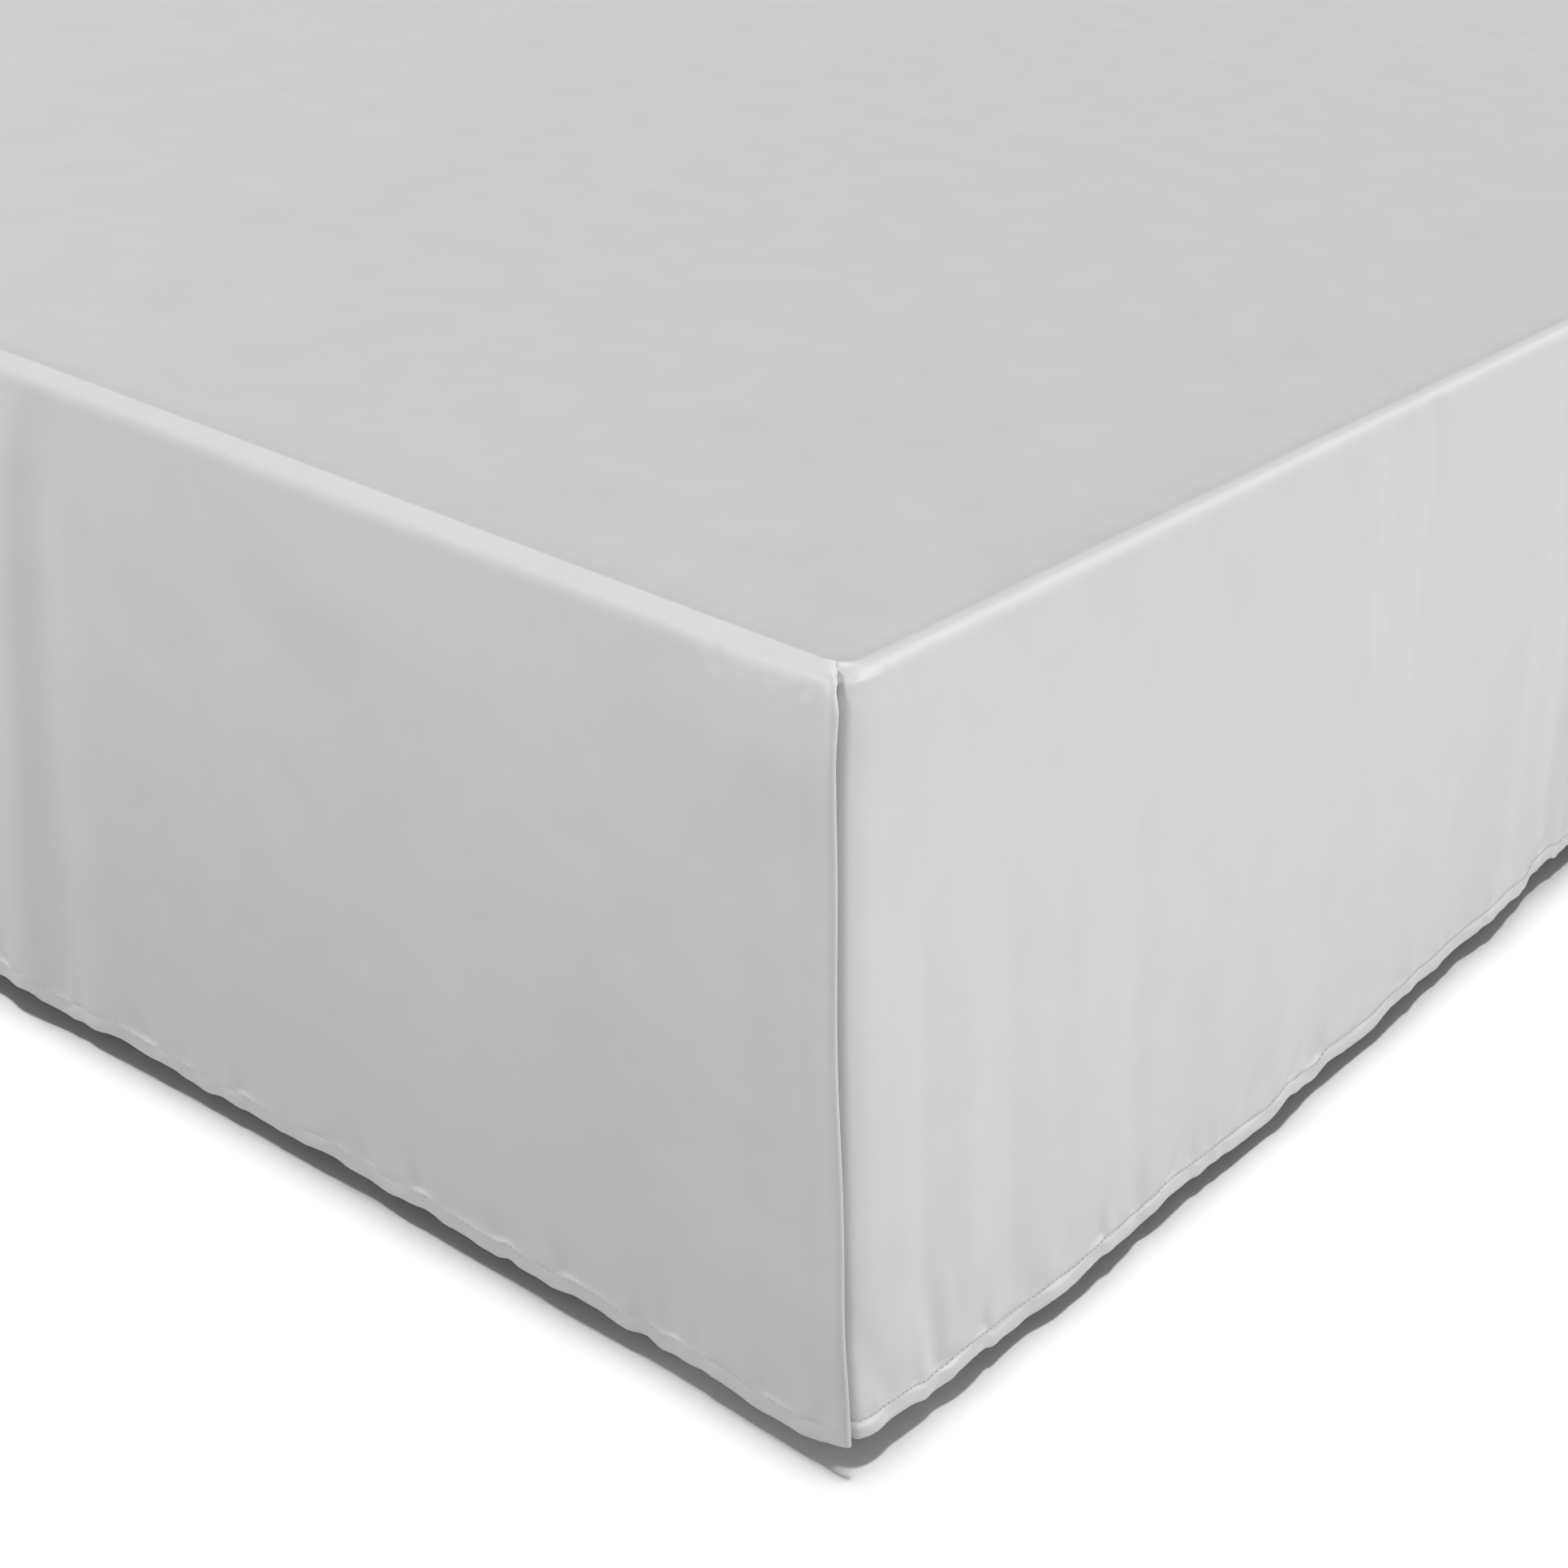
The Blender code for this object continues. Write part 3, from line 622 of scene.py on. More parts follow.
# %% [markdown]
# ## Finishes
#
# The cloth is a brushed microfibre: a fine, close weave whose surface is raised into a very short
# nap. It looks smooth and matt, with a faint mottle where the nap lies one way or the other, and a
# soft glow at grazing angles. The finish is built from noise at three sizes. The threads are noise
# stretched along each thread direction, which never beats against the picture's pixels as a
# perfectly regular wave would. A little sheen gives the glow.

# %% Small helpers for node trees


def set_inputs(node, values):
    """Sets plain values on a node's sockets, by the sockets' names."""
    for socket, value in values.items():
        node.inputs[socket].default_value = value


def stretched_noise(tree, scale, detail=2.0, roughness=0.5):
    """Noise in the object's own metres, with its own count of cells per metre along each axis."""
    spot = tree.nodes.new("ShaderNodeTexCoord")
    stretch = tree.nodes.new("ShaderNodeMapping")
    set_inputs(stretch, {"Scale": scale})
    noise = tree.nodes.new("ShaderNodeTexNoise")
    set_inputs(noise, {"Scale": 1.0, "Detail": detail, "Roughness": roughness})
    tree.links.new(spot.outputs["Object"], stretch.inputs["Vector"])
    tree.links.new(stretch.outputs["Vector"], noise.inputs["Vector"])
    return noise.outputs["Fac"]


def blend_colours(tree, factor, low, high):
    """A colour between two, by a noise factor whose middle half is spread to the whole range."""
    widen = tree.nodes.new("ShaderNodeMapRange")
    set_inputs(widen, {"From Min": 0.25, "From Max": 0.75})
    mix = tree.nodes.new("ShaderNodeMix")
    mix.data_type = "RGBA"
    set_inputs(mix, {"A": (*low, 1.0), "B": (*high, 1.0)})
    tree.links.new(factor, widen.inputs["Value"])
    tree.links.new(widen.outputs["Result"], mix.inputs["Factor"])
    return mix.outputs["Result"]


def mottled_finish(name, mottle, low, high, roughness):
    """A material whose colour drifts between two by a noise, given as its scale and any settings.

    Returns the material, its node tree, its shader and the noise.
    """
    material = bpy.data.materials.new(name)
    material.use_nodes = True
    tree, shader = material.node_tree, material.node_tree.nodes["Principled BSDF"]
    noise = stretched_noise(tree, *mottle)
    tree.links.new(blend_colours(tree, noise, low, high), shader.inputs["Base Color"])
    set_inputs(shader, {"Roughness": roughness})
    return material, tree, shader, noise


def add_bump(tree, shader, heights, strength, distance):
    """Bump from the sum of several heights."""
    total = heights[0]
    for height in heights[1:]:
        add = tree.nodes.new("ShaderNodeMath")
        add.operation = "ADD"
        tree.links.new(total, add.inputs[0])
        tree.links.new(height, add.inputs[1])
        total = add.outputs["Value"]
    bump = tree.nodes.new("ShaderNodeBump")
    set_inputs(bump, {"Strength": strength, "Distance": distance})
    tree.links.new(total, bump.inputs["Height"])
    tree.links.new(bump.outputs["Normal"], shader.inputs["Normal"])


print("Helpers for finishes are ready")

# %% The brushed cloth
CLOTH_GREY = 0.51
THREADS = 2600  # threads in a metre
THREAD_RUN = 90  # how many times in a metre a thread's look changes


def brushed_cloth(name, warp, weft, shine):
    """Light grey microfibre. warp and weft are the noise's scales along X, Y and Z."""
    low = tuple(CLOTH_GREY * value for value in (0.975, 0.975, 0.978))
    high = tuple(CLOTH_GREY * value for value in (1.025, 1.025, 1.022))
    material, tree, shader, _ = mottled_finish(name, ((26, 26, 26), 4.0, 0.6), low, high, 0.52)
    nap = stretched_noise(tree, (1100, 1100, 1100), detail=3.0, roughness=0.7)
    set_inputs(shader, {"Specular IOR Level": shine, "Sheen Weight": 0.2 * shine, "Sheen Roughness": 0.5})
    threads = [stretched_noise(tree, warp), stretched_noise(tree, weft)]
    add_bump(tree, shader, [nap, *threads], 0.18, 0.00015)
    return material


drop_cloth = brushed_cloth(
    "drop_cloth", (THREADS, THREADS, THREAD_RUN), (THREAD_RUN, THREAD_RUN, THREADS), 0.5)
deck_cloth_finish = brushed_cloth(
    "deck_cloth", (THREADS, THREAD_RUN, THREADS), (THREAD_RUN, THREADS, THREADS), 0.2)
print("Cloth finishes:", drop_cloth.name, deck_cloth_finish.name)

# %% [markdown]
# ## From points to a sheet
#
# A grid of points becomes a surface of four-sided faces, one for each cell. The Solidify modifier
# then gives it the cloth's own thickness, half to each side, and closes its edges. That keeps the
# thickness even however the sheet is bent.

# %% Make a sheet


def smooth_mesh(name, points, faces):
    """A mesh from an array of points and a list of faces, shaded smooth."""
    mesh = bpy.data.meshes.new(name)
    mesh.from_pydata(points.reshape(-1, 3).tolist(), [], faces)
    mesh.shade_smooth()
    return mesh


def grid_mesh(name, grid):
    """A smooth surface through a grid of points."""
    rows, columns = grid.shape[:2]
    first = (np.arange(rows - 1)[:, None] * columns + np.arange(columns - 1)[None, :]).ravel()
    faces = np.stack([first, first + columns, first + columns + 1, first + 1], axis=1)
    return smooth_mesh(name, grid, faces.tolist())


def add_object(name, mesh, material):
    """Puts a mesh in the scene with its material."""
    made = bpy.data.objects.new(name, mesh)
    made.data.materials.append(material)
    bpy.context.scene.collection.objects.link(made)
    return made


def dress(name, mesh, material, node_names):
    """Adds a mesh as a piece that rides on the part and stands for its nodes."""
    made = add_object(name, mesh, material)
    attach(made, "root")
    if node_names:
        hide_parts(*node_names)
    return made


def sew_sheet(name, grid, material, node_name, even=True):
    """A sheet of cloth through a grid of points, in place of one node. even keeps folds full."""
    made = dress(name, grid_mesh(name, grid), material, [node_name])
    skin = made.modifiers.new("cloth_thickness", "SOLIDIFY")
    skin.thickness = SHEET
    skin.offset = 0.0
    skin.use_even_offset = even
    print(name, "has", grid.shape[0], "by", grid.shape[1], "points")
    return made


# %% [markdown]
# ## The three drops
#
# Each drop is one panel. The foot drop is cut to the bed's width and the side drops to its length,
# with a strip folded back at each foot corner, where the fold makes a crisp upright edge. The foot
# drop's fold stands in front of the side drop's. At the head the side drops end in a narrow hem.

# %% Describe and sew the drops


def foot_and_sides():
    """The three drops, each with its own tables and its own seeds."""
    foot = Drop(
        lambda f: corner_post(1, f), lambda f: corner_post(-1, f), (0, 1), BED_WIDTH,
        SOFT_EDGE, FOOT_WAVES, FOOT_FOLDS, FOOT_CREASES, FOOT_PUCKERS, uneven_line(11, 0.022, 0.0009),
        hem_line(FOOT_LIFTS, 12), uneven_line(13, 0.010, 0.00022), uneven_line(14, 0.0100, 0.0007),
        broad_unevenness(15), 0.00005, FRONT_END, FRONT_END, RETURN_LENGTH)
    right = Drop(
        lambda f: corner_post(1, f), lambda f: head_post(1, f), (-1, 0), BED_LENGTH,
        TIGHT_EDGE, RIGHT_WAVES, RIGHT_FOLDS, RIGHT_CREASES, RIGHT_PUCKERS, uneven_line(21, 0.024, 0.0009),
        hem_line(RIGHT_LIFTS, 22), uneven_line(23, 0.010, 0.00022), uneven_line(24, 0.0090, 0.0011),
        broad_unevenness(25, slope=0.0025), 0.0006, TUCKED_END, HEMMED_END, HEAD_RETURN)
    left = Drop(
        lambda f: corner_post(-1, f), lambda f: head_post(-1, f), (1, 0), BED_LENGTH,
        TIGHT_EDGE, LEFT_WAVES, LEFT_FOLDS, LEFT_CREASES, [], uneven_line(31, 0.024, 0.0010),
        hem_line(LEFT_LIFTS, 32), uneven_line(33, 0.010, 0.00022), uneven_line(34, 0.0090, 0.0011),
        broad_unevenness(35), 0.0006, TUCKED_END, HEMMED_END, HEAD_RETURN)
    return foot, right, left


foot_drop, right_drop, left_drop = foot_and_sides()
foot_sheet = sew_sheet("foot_drop_cloth", drop_grid(foot_drop), drop_cloth, "foot_drop")
right_sheet = sew_sheet("right_drop_cloth", drop_grid(right_drop), drop_cloth, "side_drop_right")
left_sheet = sew_sheet("left_drop_cloth", drop_grid(left_drop), drop_cloth, "side_drop_left")

# %% [markdown]
# ## The pleats behind the corners
#
# Behind each split corner hangs a strip of the same cloth, sewn in at the seam. It follows the back
# of the foot drop, turns the corner and follows the back of the side drop. Pulled open, the corner
# would show it. Here it is closed, and only a thin line of it shows in the split.

# %% Sew the corner pleats
PLEAT_DEPTH = 0.0042  # of the pleat behind the drops' outer faces
PLEAT_CORNER = 0.0021  # radius of its turn at the corner
PLEAT_TURN = 0.0112  # where it starts to turn, along from the corner
PLEAT_LENGTH = 0.070  # of each leg
PLEAT_HEM = 0.985  # share of the fall where the pleat ends
CORNER_SEAM = 0.0109  # of the seam's corner, from both drops' outer faces
CAP_TURN = 0.0012  # radius of the turn at a leg's top edge


def pleat_cap(top_line, side):
    """Rows that carry a pleat's top edge up to the deck's corner and, along its legs, to the seam."""
    sewn = np.array([side * (BED_WIDTH / 2 - CORNER_SEAM), -BED_LENGTH / 2 + CORNER_SEAM])
    from_corner = np.hypot(*(top_line[:, :2] - sewn).T)
    near = (1 - ease((from_corner - 0.0050) / 0.0025))[:, None]
    inward = np.array([-side, 1.0]) * CAP_TURN
    target = top_line[:, :2] + (sewn - top_line[:, :2]) * 0.9 * near + inward * (1 - near)
    rise = CAP_TURN + (DECK_TOP - EDGE_HEIGHT - 2 * CAP_TURN) * near
    rows = []
    for angle in np.radians((90, 75, 60, 45, 30, 15)):
        spot = top_line[:, :2] + (target - top_line[:, :2]) * (1 - math.cos(angle))
        rows.append(np.column_stack([spot, top_line[:, 2] + rise[:, 0] * math.sin(angle)]))
    return np.array(rows)


def pleat_grid(foot, side_drop, at_finish):
    """The points of one corner pleat, from its foot leg round the corner to its side leg."""
    rows = as_rows([Row(0, share, 0, 0, 0) for share in np.linspace(0, PLEAT_HEM, 66)])
    leg = np.concatenate([np.linspace(PLEAT_LENGTH, 0.014, 16), [0.0125, 0.0112, 0.0100, 0.0090]])[None, :]
    angle = np.linspace(0, math.pi / 2, 6)[None, :]
    turn_along = PLEAT_TURN + PLEAT_CORNER * (1 - np.sin(angle))

    def on_foot(along, depth):
        return place(foot, foot.length - along if at_finish else along, depth, rows)

    foot_leg = on_foot(near_end(FRONT_END, rows, leg), PLEAT_DEPTH)
    corner = on_foot(turn_along, PLEAT_DEPTH + PLEAT_CORNER * (1 - np.cos(angle)))
    side_leg = place(side_drop, near_end(TUCKED_END, rows, leg[:, ::-1]), PLEAT_DEPTH, rows)
    hanging = np.concatenate([foot_leg, corner, side_leg], axis=1)
    return np.concatenate([pleat_cap(hanging[0], -1 if at_finish else 1), hanging])


right_pleat = sew_sheet(
    "right_corner_pleat_cloth", pleat_grid(foot_drop, right_drop, False), drop_cloth, "corner_pleat_right",
    even=False)
left_pleat = sew_sheet(
    "left_corner_pleat_cloth", pleat_grid(foot_drop, left_drop, True), drop_cloth, "corner_pleat_left",
    even=False)

# %% [markdown]
# ## The deck
#
# The deck is one flat piece, cut to the size of the base. It lies loose, so it has faint swells and
# it puckers a little where the drops are sewn to it. Towards its sewn edges it rises a little, and
# then it dips into the seam beside the rolled edge of each drop. Its head end is free and has a
# plain hem.

# %% Work out the deck
SEAM_REACH = SEAM_IN + 0.0001  # from a drop's outer face to the deck's sewn edge
DECK_REST = DECK_TOP - 0.0004
DECK_CORNER = 0.010
DECK_HEM = 0.012
FIRST_DECK_STEP, DECK_STEP_GROWTH, LAST_DECK_STEP = 0.0006, 0.25, 0.0115
SWELL_LOW, SWELL_HIGH, SWELL_FADE = -0.0006, 0.0012, 0.03  # the swells fade out beside the seam
GATHER_REACH = 0.007  # how far the puckers of the seam reach onto the deck
RISE, RISE_REACH = 0.0013, 0.016  # towards the sewn edges
DIP, DIP_REACH = 0.0007, 0.004  # into the seam


def graded_places(low, high, fine_high):
    """Places from low to high, close together at the sewn edges."""
    half = (high - low) / 2
    steps, travel = [0.0], 0.0
    while travel < half:
        travel += min(FIRST_DECK_STEP + DECK_STEP_GROWTH * travel, LAST_DECK_STEP)
        steps.append(min(travel, half))
    rising = low + np.array(steps)
    falling = high - np.array(steps[:-1])[::-1] if fine_high else np.linspace(low + half, high, 90)[1:]
    return np.concatenate([rising, falling])


def round_corner(x, y, edge_x, edge_y):
    """Moves grid points near a square corner so that the corner becomes round."""
    a = np.clip(1 - (edge_x - np.abs(x)) / DECK_CORNER, 0, 1)
    b = np.clip(1 - (y + edge_y) / DECK_CORNER, 0, 1)
    both = (a > 0) & (b > 0)
    new_a = a * np.sqrt(1 - b ** 2 / 2)
    new_b = b * np.sqrt(1 - a ** 2 / 2)
    x = np.where(both, np.sign(x) * (edge_x - DECK_CORNER * (1 - new_a)), x)
    y = np.where(both, DECK_CORNER * (1 - new_b) - edge_y, y)
    return x, y


def deck_grid():
    """Every point of the deck's middle surface, with its hem turned under at the head end."""
    edge_x = BED_WIDTH / 2 - SEAM_REACH
    edge_y = BED_LENGTH / 2 - SEAM_REACH
    across = graded_places(-edge_x, edge_x, True)
    along = graded_places(-edge_y, BED_LENGTH / 2, False)
    x, y = np.meshgrid(across, along)
    x, y = round_corner(x, y, edge_x, edge_y)
    to_seam = np.minimum(edge_x - np.abs(x), y + edge_y)
    swell = broad_unevenness(41, count=18, slope=0.0022)(x, y) + broad_unevenness(42, 12, 0.0018)(y, x)
    gather = uneven_line(43, 0.012, 0.00022)(np.where(edge_x - np.abs(x) < y + edge_y, y + 1.1, x + 1.0))
    z = DECK_REST + np.clip(swell, SWELL_LOW, SWELL_HIGH) * ease(to_seam / SWELL_FADE)
    z = z + gather * np.exp(-to_seam / GATHER_REACH) + RISE * np.exp(-to_seam / RISE_REACH)
    z = z - DIP * np.exp(-to_seam / DIP_REACH)
    points = np.stack([x, y, z], axis=-1)
    last = points[-1:]
    turned = [last + np.array([0, 0.0003, -0.0003]), last + np.array([0, 0, -0.0006])]
    inside = [last + np.array([0, -DECK_HEM * share, -0.0006]) for share in (0.33, 0.66, 1.0)]
    return np.concatenate([points, *turned, *inside])


deck_sheet = sew_sheet("deck_cloth", deck_grid(), deck_cloth_finish, "deck")

# %% [markdown]
# ## Stitches
#
# The hems are sewn with a straight stitch. Each stitch is a short bit of thread that lies on the
# cloth and dives into it at both ends. One stitch is a six-sided tube, thin at its ends, and a loop
# lays them one after another along the hem. All the stitches of a hem are joined in one mesh.

# %% Faces between rings of points


def ring_faces(levels, count):
    """Four-sided faces between rings of count points, from the first ring to the last."""
    return [(low + k, low + (k + 1) % count, low + count + (k + 1) % count, low + count + k)
            for low in range(0, (levels - 1) * count, count) for k in range(count)]


def capped_faces(levels, count):
    """The same, closed at both ends."""
    top = (levels - 1) * count
    caps = [tuple(range(count - 1, -1, -1)), tuple(range(top, top + count))]
    return ring_faces(levels, count) + caps


print("One stitch has", len(capped_faces(5, 6)), "faces")

# %% The thread
STITCH_LENGTH = 0.0028
STITCH_GAP = 0.0007
THREAD_RADIUS = 0.00028
THREAD_SIDES = 6


def sewing_thread(name, grey):
    """Twisted grey thread. Given a darker grey, the same thread carries painted shade."""
    return mottled_finish(name, ((2400, 2400, 2400),), (0.92 * grey,) * 3, (1.08 * grey,) * 3, 0.6)[0]


def stitch_mesh(name, starts, ends, outward):
    """Stitches from arrays of their end points, arched a little along outward."""
    shares = np.array([0.0, 0.12, 0.5, 0.88, 1.0])
    widths = np.array([0.3, 0.85, 1.0, 0.85, 0.3]) * THREAD_RADIUS
    lifts = np.array([-1.0, 0.1, 0.6, 0.1, -1.0]) * THREAD_RADIUS
    travel = ends - starts
    ahead = travel / np.linalg.norm(travel, axis=1, keepdims=True)
    aside = np.cross(ahead, outward)
    points = []
    for share, width, lift in zip(shares, widths, lifts):
        centre = starts + travel * share + outward * lift
        for angle in np.arange(THREAD_SIDES) * 2 * math.pi / THREAD_SIDES:
            points.append(centre + width * (math.cos(angle) * outward + math.sin(angle) * aside))
    points = np.stack(points, axis=1)
    one_stitch = capped_faces(len(shares), THREAD_SIDES)
    faces = [tuple(stitch * points.shape[1] + corner for corner in face)
             for stitch in range(len(starts)) for face in one_stitch]
    return smooth_mesh(name, points, faces)


pale_thread = sewing_thread("pale_sewing_thread", 0.50)
# The same thread again, painted darker: painted shade that stands in for the shadow in the stitch holes and
# their groove, on the side hems and the deck's hem.
shade_painted_thread = sewing_thread("sewing_thread_painted_shade", 0.31)
print("Stitches are", STITCH_LENGTH, "m long")

# %% Sew the hems


def stitch_hem(name, drop, first, last, thread):
    """A line of stitches along a drop's hem."""
    begin = np.arange(first, last, STITCH_LENGTH + STITCH_GAP)
    rows = as_rows([Row(0, 1 - STITCH_RISE / FALL, 0, 0, 0)])
    surface = FACE - SHEET / 2

    def on_face(along, depth):
        moved = near_end(drop.first_end, rows, along[None, :])
        return place(drop, moved, depth, rows)[0]

    starts, ends = on_face(begin, surface), on_face(begin + STITCH_LENGTH, surface)
    outward = on_face(begin, surface - 0.001) - starts
    outward /= np.linalg.norm(outward, axis=1, keepdims=True)
    made = dress(name, stitch_mesh(name, starts, ends, outward), thread, [])
    print(name, "has", len(begin), "stitches")
    return made


foot_stitches = stitch_hem("foot_hem_stitches", foot_drop, 0.006, BED_WIDTH - 0.006, pale_thread)
# The side hems' stitches use the thread with painted shade.
right_stitches = stitch_hem("right_hem_stitches", right_drop, 0.006, BED_LENGTH - 0.004, shade_painted_thread)
left_stitches = stitch_hem("left_hem_stitches", left_drop, 0.006, BED_LENGTH - 0.004, shade_painted_thread)

# %% Sew the deck's head hem


def stitch_deck():
    """A line of stitches along the deck's free end."""
    begin = np.arange(-BED_WIDTH / 2 + 0.012, BED_WIDTH / 2 - 0.014, STITCH_LENGTH + STITCH_GAP)
    starts = np.array([(x, BED_LENGTH / 2 - 0.010, DECK_REST + SHEET / 2) for x in begin])
    ends = starts + np.array([STITCH_LENGTH, 0, 0])
    outward = np.tile(np.array([0.0, 0.0, 1.0]), (len(begin), 1))
    name = "deck_hem_stitches"
    # The deck's hem stitches use the thread with painted shade too.
    return dress(name, stitch_mesh(name, starts, ends, outward), shade_painted_thread, [])


deck_stitches = stitch_deck()
print("The deck's hem is sewn")

# %% [markdown]
# ## The bed base and its legs
#
# Under the skirt is a plain upholstered base: a frame with a cover pulled over it. Its sides are
# very slightly crowned by the padding under the cover. The legs are plain turned pegs. Both are
# built from rings: a ring of points is the outline seen from above at one height.

# %% Outline rings
SIDE_SHARES = np.linspace(0, 1, 26)[1:-1, None]


def rounded_rectangle(west, east, south, north, radius, steps):
    """Points round a rectangle with round corners, with points along its sides too."""
    corners = np.array([(east, north), (west, north), (west, south), (east, south)])
    centres = corners - radius * np.sign(corners)
    outline = []
    for quarter, centre in enumerate(centres):
        angles = math.pi / 2 * (quarter + np.linspace(0, 1, steps + 1))
        arc = radius * np.column_stack([np.cos(angles), np.sin(angles)])
        along_side = centres[(quarter + 1) % 4] - centre
        outline += [*(centre + arc), *(centre + arc[-1] + along_side * SIDE_SHARES)]
    return np.array(outline)


def unit_circle(count):
    """Points round a circle of radius 1."""
    angles = np.linspace(0, 2 * math.pi, count + 1)[:-1]
    return np.column_stack([np.cos(angles), np.sin(angles)])


def ring_solid(name, rings):
    """A closed solid through rings of points, from the bottom one up."""
    mesh = smooth_mesh(name, np.array(rings), capped_faces(len(rings), len(rings[0])))
    mesh.set_sharp_from_angle(angle=math.radians(35))
    return mesh


print("Points in one ring of the base:", len(rounded_rectangle(-1, 1, -1, 1, 0.1, 8)))

# %% The base
BASE_EDGE = 0.010
BASE_CORNER = 0.040
BASE_CROWN = 0.002
base_low, base_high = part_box("box_base")


def base_cover_finish():
    """A plain flat-woven cover in a warm light grey."""
    material, tree, shader, _ = mottled_finish(
        "base_cover", ((40, 40, 40), 3.0), (0.50, 0.49, 0.465), (0.56, 0.55, 0.525), 0.9)
    set_inputs(shader, {"Sheen Weight": 0.1})
    weave = [stretched_noise(tree, (900, 900, 60)), stretched_noise(tree, (60, 60, 900))]
    add_bump(tree, shader, weave, 0.6, 0.0005)
    return material


def base_rings():
    """Rings up the base: a rounded bottom edge, crowned sides and a rounded top edge."""
    quarter = BASE_EDGE * (1 - np.cos(np.linspace(0, math.pi / 2, 7)))
    wall = np.linspace(base_low.z + BASE_EDGE, base_high.z - BASE_EDGE, 16)[1:-1]
    levels = [*zip(base_low.z + quarter, quarter[::-1]), *((z, 0.0) for z in wall)]
    levels += zip(base_high.z - quarter[::-1], quarter)
    rings = []
    for z, inset in levels:
        outline = rounded_rectangle(
            base_low.x + inset, base_high.x - inset, base_low.y + inset, base_high.y - inset,
            BASE_CORNER - inset, 10)
        rise = (z - base_low.z) / (base_high.z - base_low.z)
        crown = BASE_CROWN * math.sin(math.pi * rise)
        reach = np.abs(outline) / np.array([base_high.x, base_high.y])
        outline = outline + crown * np.sign(outline) * (reach > 0.985) * (1 - reach[:, ::-1] ** 6)
        rings.append(np.column_stack([outline, np.full(len(outline), z)]))
    return rings


dress("bed_base", ring_solid("bed_base", base_rings()), base_cover_finish(), ["box_base"])
print("The base is", round(base_high.z - base_low.z, 3), "m deep")

# %% The legs
LEG_FOOT, LEG_TOP = 0.022, 0.030


def stained_wood():
    """Dark stained wood, with its grain running up the leg."""
    material, tree, shader, grain = mottled_finish(
        "leg_wood", ((260, 260, 14), 5.0, 0.65), (0.055, 0.035, 0.022), (0.15, 0.10, 0.065), 0.45)
    set_inputs(shader, {"Coat Weight": 0.2})
    add_bump(tree, shader, [grain], 0.25, 0.0003)
    return material


def leg_rings(low, high):
    """A tapered round leg with a softened foot."""
    centre = np.array([(low.x + high.x) / 2, (low.y + high.y) / 2])
    height = high.z - low.z
    profile = [(0.0, LEG_FOOT - 0.002), (0.0006, LEG_FOOT - 0.0008), (0.002, LEG_FOOT)]
    taper = LEG_TOP - LEG_FOOT
    profile += [(height * share, LEG_FOOT + taper * share) for share in np.linspace(0.1, 1, 8)]
    circle = unit_circle(48)
    return [np.column_stack([centre + radius * circle, np.full(48, low.z + z)]) for z, radius in profile]


wood = stained_wood()
for node_name in sorted(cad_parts):
    if node_name.startswith("leg_"):
        mesh = ring_solid(node_name + "_turned", leg_rings(*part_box(node_name)))
        dress(node_name + "_turned", mesh, wood, [node_name])
print("Legs:", sum(name.startswith("leg_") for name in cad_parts))

# %% [markdown]
# ## The floor and the backdrop
#
# The floor is one plain pale sheet. Far behind the bed on every side a pale backdrop curves up from
# it, so that no view shows a horizon. The backdrop is only there to be seen. It casts no shadow and
# bounces no light, because it would otherwise stand in the way of the low lights.

# %% Lay the floor
FLOOR_RADIUS = 9.0
SWEEP = 4.0  # radius of the backdrop's curve


def pale_finish(name, whiteness):
    """Smooth matt paint, with a barely seen unevenness."""
    low, high = (whiteness - 0.01,) * 3, (whiteness + 0.01,) * 3
    material, _, shader, _ = mottled_finish(name, ((3, 3, 3),), low, high, 0.8)
    set_inputs(shader, {"Specular IOR Level": 0.1})
    return material


def turned_sheet(name, profile, material):
    """A round sheet from a profile of (radius, height) rows."""
    count = 96
    circle = unit_circle(count)
    rings = [np.column_stack([radius * circle, np.full(count, z)]) for radius, z in profile]
    faces = [face[::-1] for face in ring_faces(len(rings), count)]
    return add_object(name, smooth_mesh(name, np.array(rings), faces), material)


floor_profile = [(radius, 0) for radius in (0.001, 1, 3, 6, FLOOR_RADIUS)]
floor = turned_sheet("floor", floor_profile, pale_finish("pale_floor", 0.92))
backdrop_profile = [
    (FLOOR_RADIUS + SWEEP * math.sin(a), SWEEP * (1 - math.cos(a))) for a in np.linspace(0, 1.5, 13)]
backdrop = turned_sheet("backdrop", backdrop_profile, pale_finish("pale_backdrop", 0.90))
backdrop.visible_shadow = False
for stage_piece in (floor, backdrop):
    stage_piece.visible_diffuse = False
print("The floor is laid and the backdrop stands", FLOOR_RADIUS, "m away")

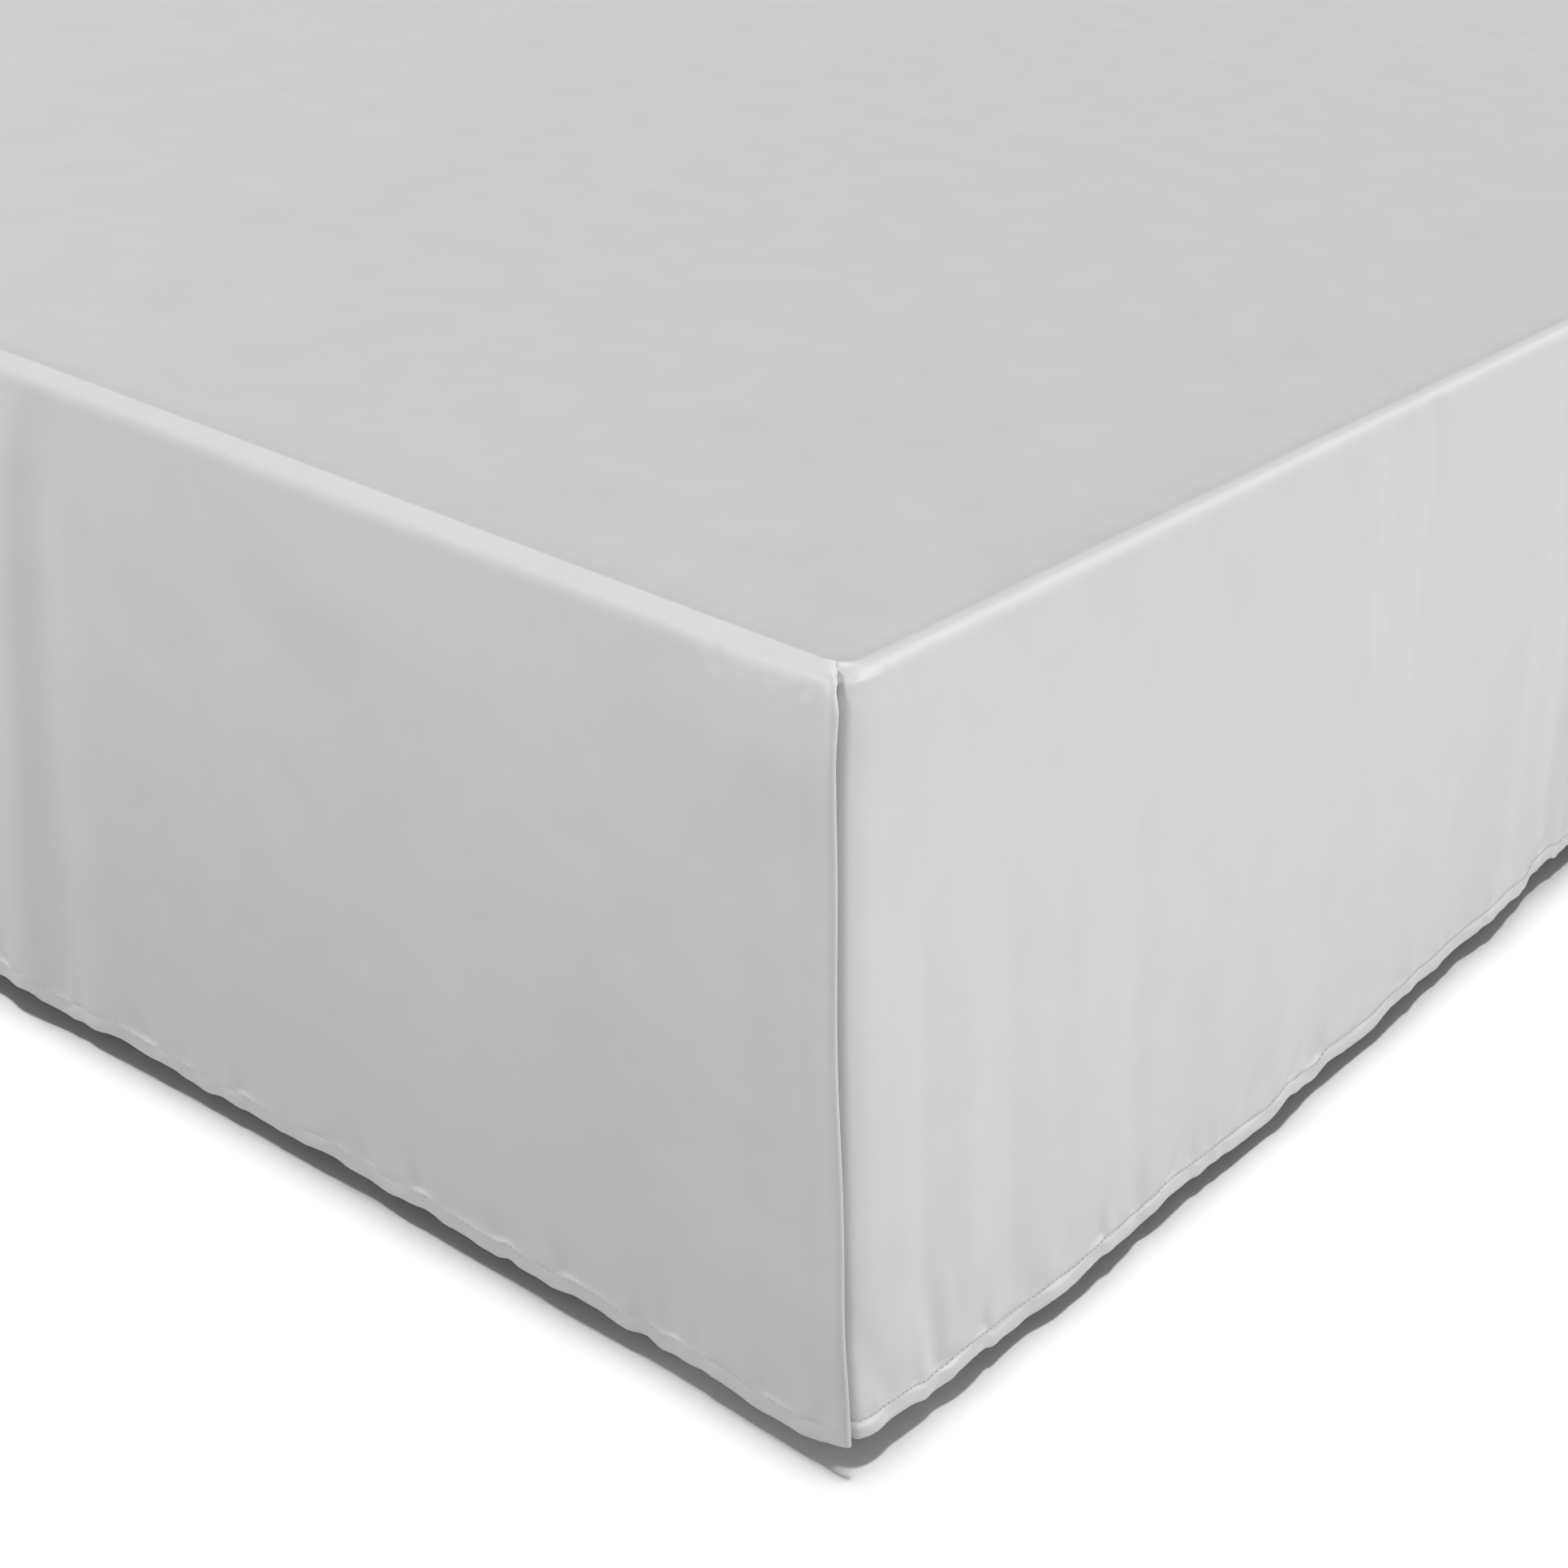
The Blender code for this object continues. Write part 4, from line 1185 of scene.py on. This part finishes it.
# %% [markdown]
# ## The light
#
# A dim sky and four far lights light the bed. The sky is there only above the horizon, and the floor
# and the backdrop throw no light back on the cloth, so the inside of the hems stays dark. The top
# light is nearly overhead. It lights the deck and the floor, leaves the floor dark under the raised
# hem, and puts a soft shine along the rolled top edge. Three low lights, at the right, the left and
# the front, light the drops and hardly reach the floor, since they graze it. The right light is the
# strongest of the three, so the right drop is the lightest plane. It stands a little towards the
# head, so the side drop darkens where it turns in behind the foot drop's fold.

# %% Set the lights
SKY_STRENGTH = 0.22
TOP_POWER, RIGHT_POWER, LEFT_POWER, FRONT_POWER = 2.50, 3.45, 2.44, 2.72


def soft_sky():
    """A dim even sky above the horizon, and none below it."""
    world = bpy.data.worlds.new("soft_sky")
    world.use_nodes = True
    nodes, links = world.node_tree.nodes, world.node_tree.links
    direction, parts = nodes.new("ShaderNodeTexCoord"), nodes.new("ShaderNodeSeparateXYZ")
    above, bright = nodes.new("ShaderNodeMath"), nodes.new("ShaderNodeMath")
    above.operation, bright.operation = "GREATER_THAN", "MULTIPLY"
    above.inputs[1].default_value = 0.0
    bright.inputs[1].default_value = SKY_STRENGTH
    links.new(direction.outputs["Generated"], parts.inputs[0])
    links.new(parts.outputs["Z"], above.inputs[0])
    links.new(above.outputs[0], bright.inputs[0])
    set_inputs(nodes["Background"], {"Color": (1.0, 1.0, 1.0, 1.0)})
    links.new(bright.outputs[0], nodes["Background"].inputs["Strength"])
    bpy.context.scene.world = world


def far_light(name, strength, azimuth, elevation, spread):
    """A broad light far away. Azimuth 0 is +X and 90 is +Y, both in degrees."""
    light = bpy.data.lights.new(name, "SUN")
    light.energy = strength
    light.angle = math.radians(spread)
    reach, turn = math.cos(math.radians(elevation)), math.radians(azimuth)
    towards = Vector((reach * math.cos(turn), reach * math.sin(turn), math.sin(math.radians(elevation))))
    made = bpy.data.objects.new(name, light)
    made.rotation_euler = towards.to_track_quat("Z", "Y").to_euler()
    bpy.context.scene.collection.objects.link(made)


soft_sky()
far_light("top_light", TOP_POWER, 235, 86.3, 9)
far_light("right_light", RIGHT_POWER, 18, 3, 10)
far_light("left_light", LEFT_POWER, 162, 3, 10)
far_light("front_light", FRONT_POWER, -108, 3.2, 12)
bpy.context.scene.view_settings.view_transform = "Standard"
print("Lights are set")
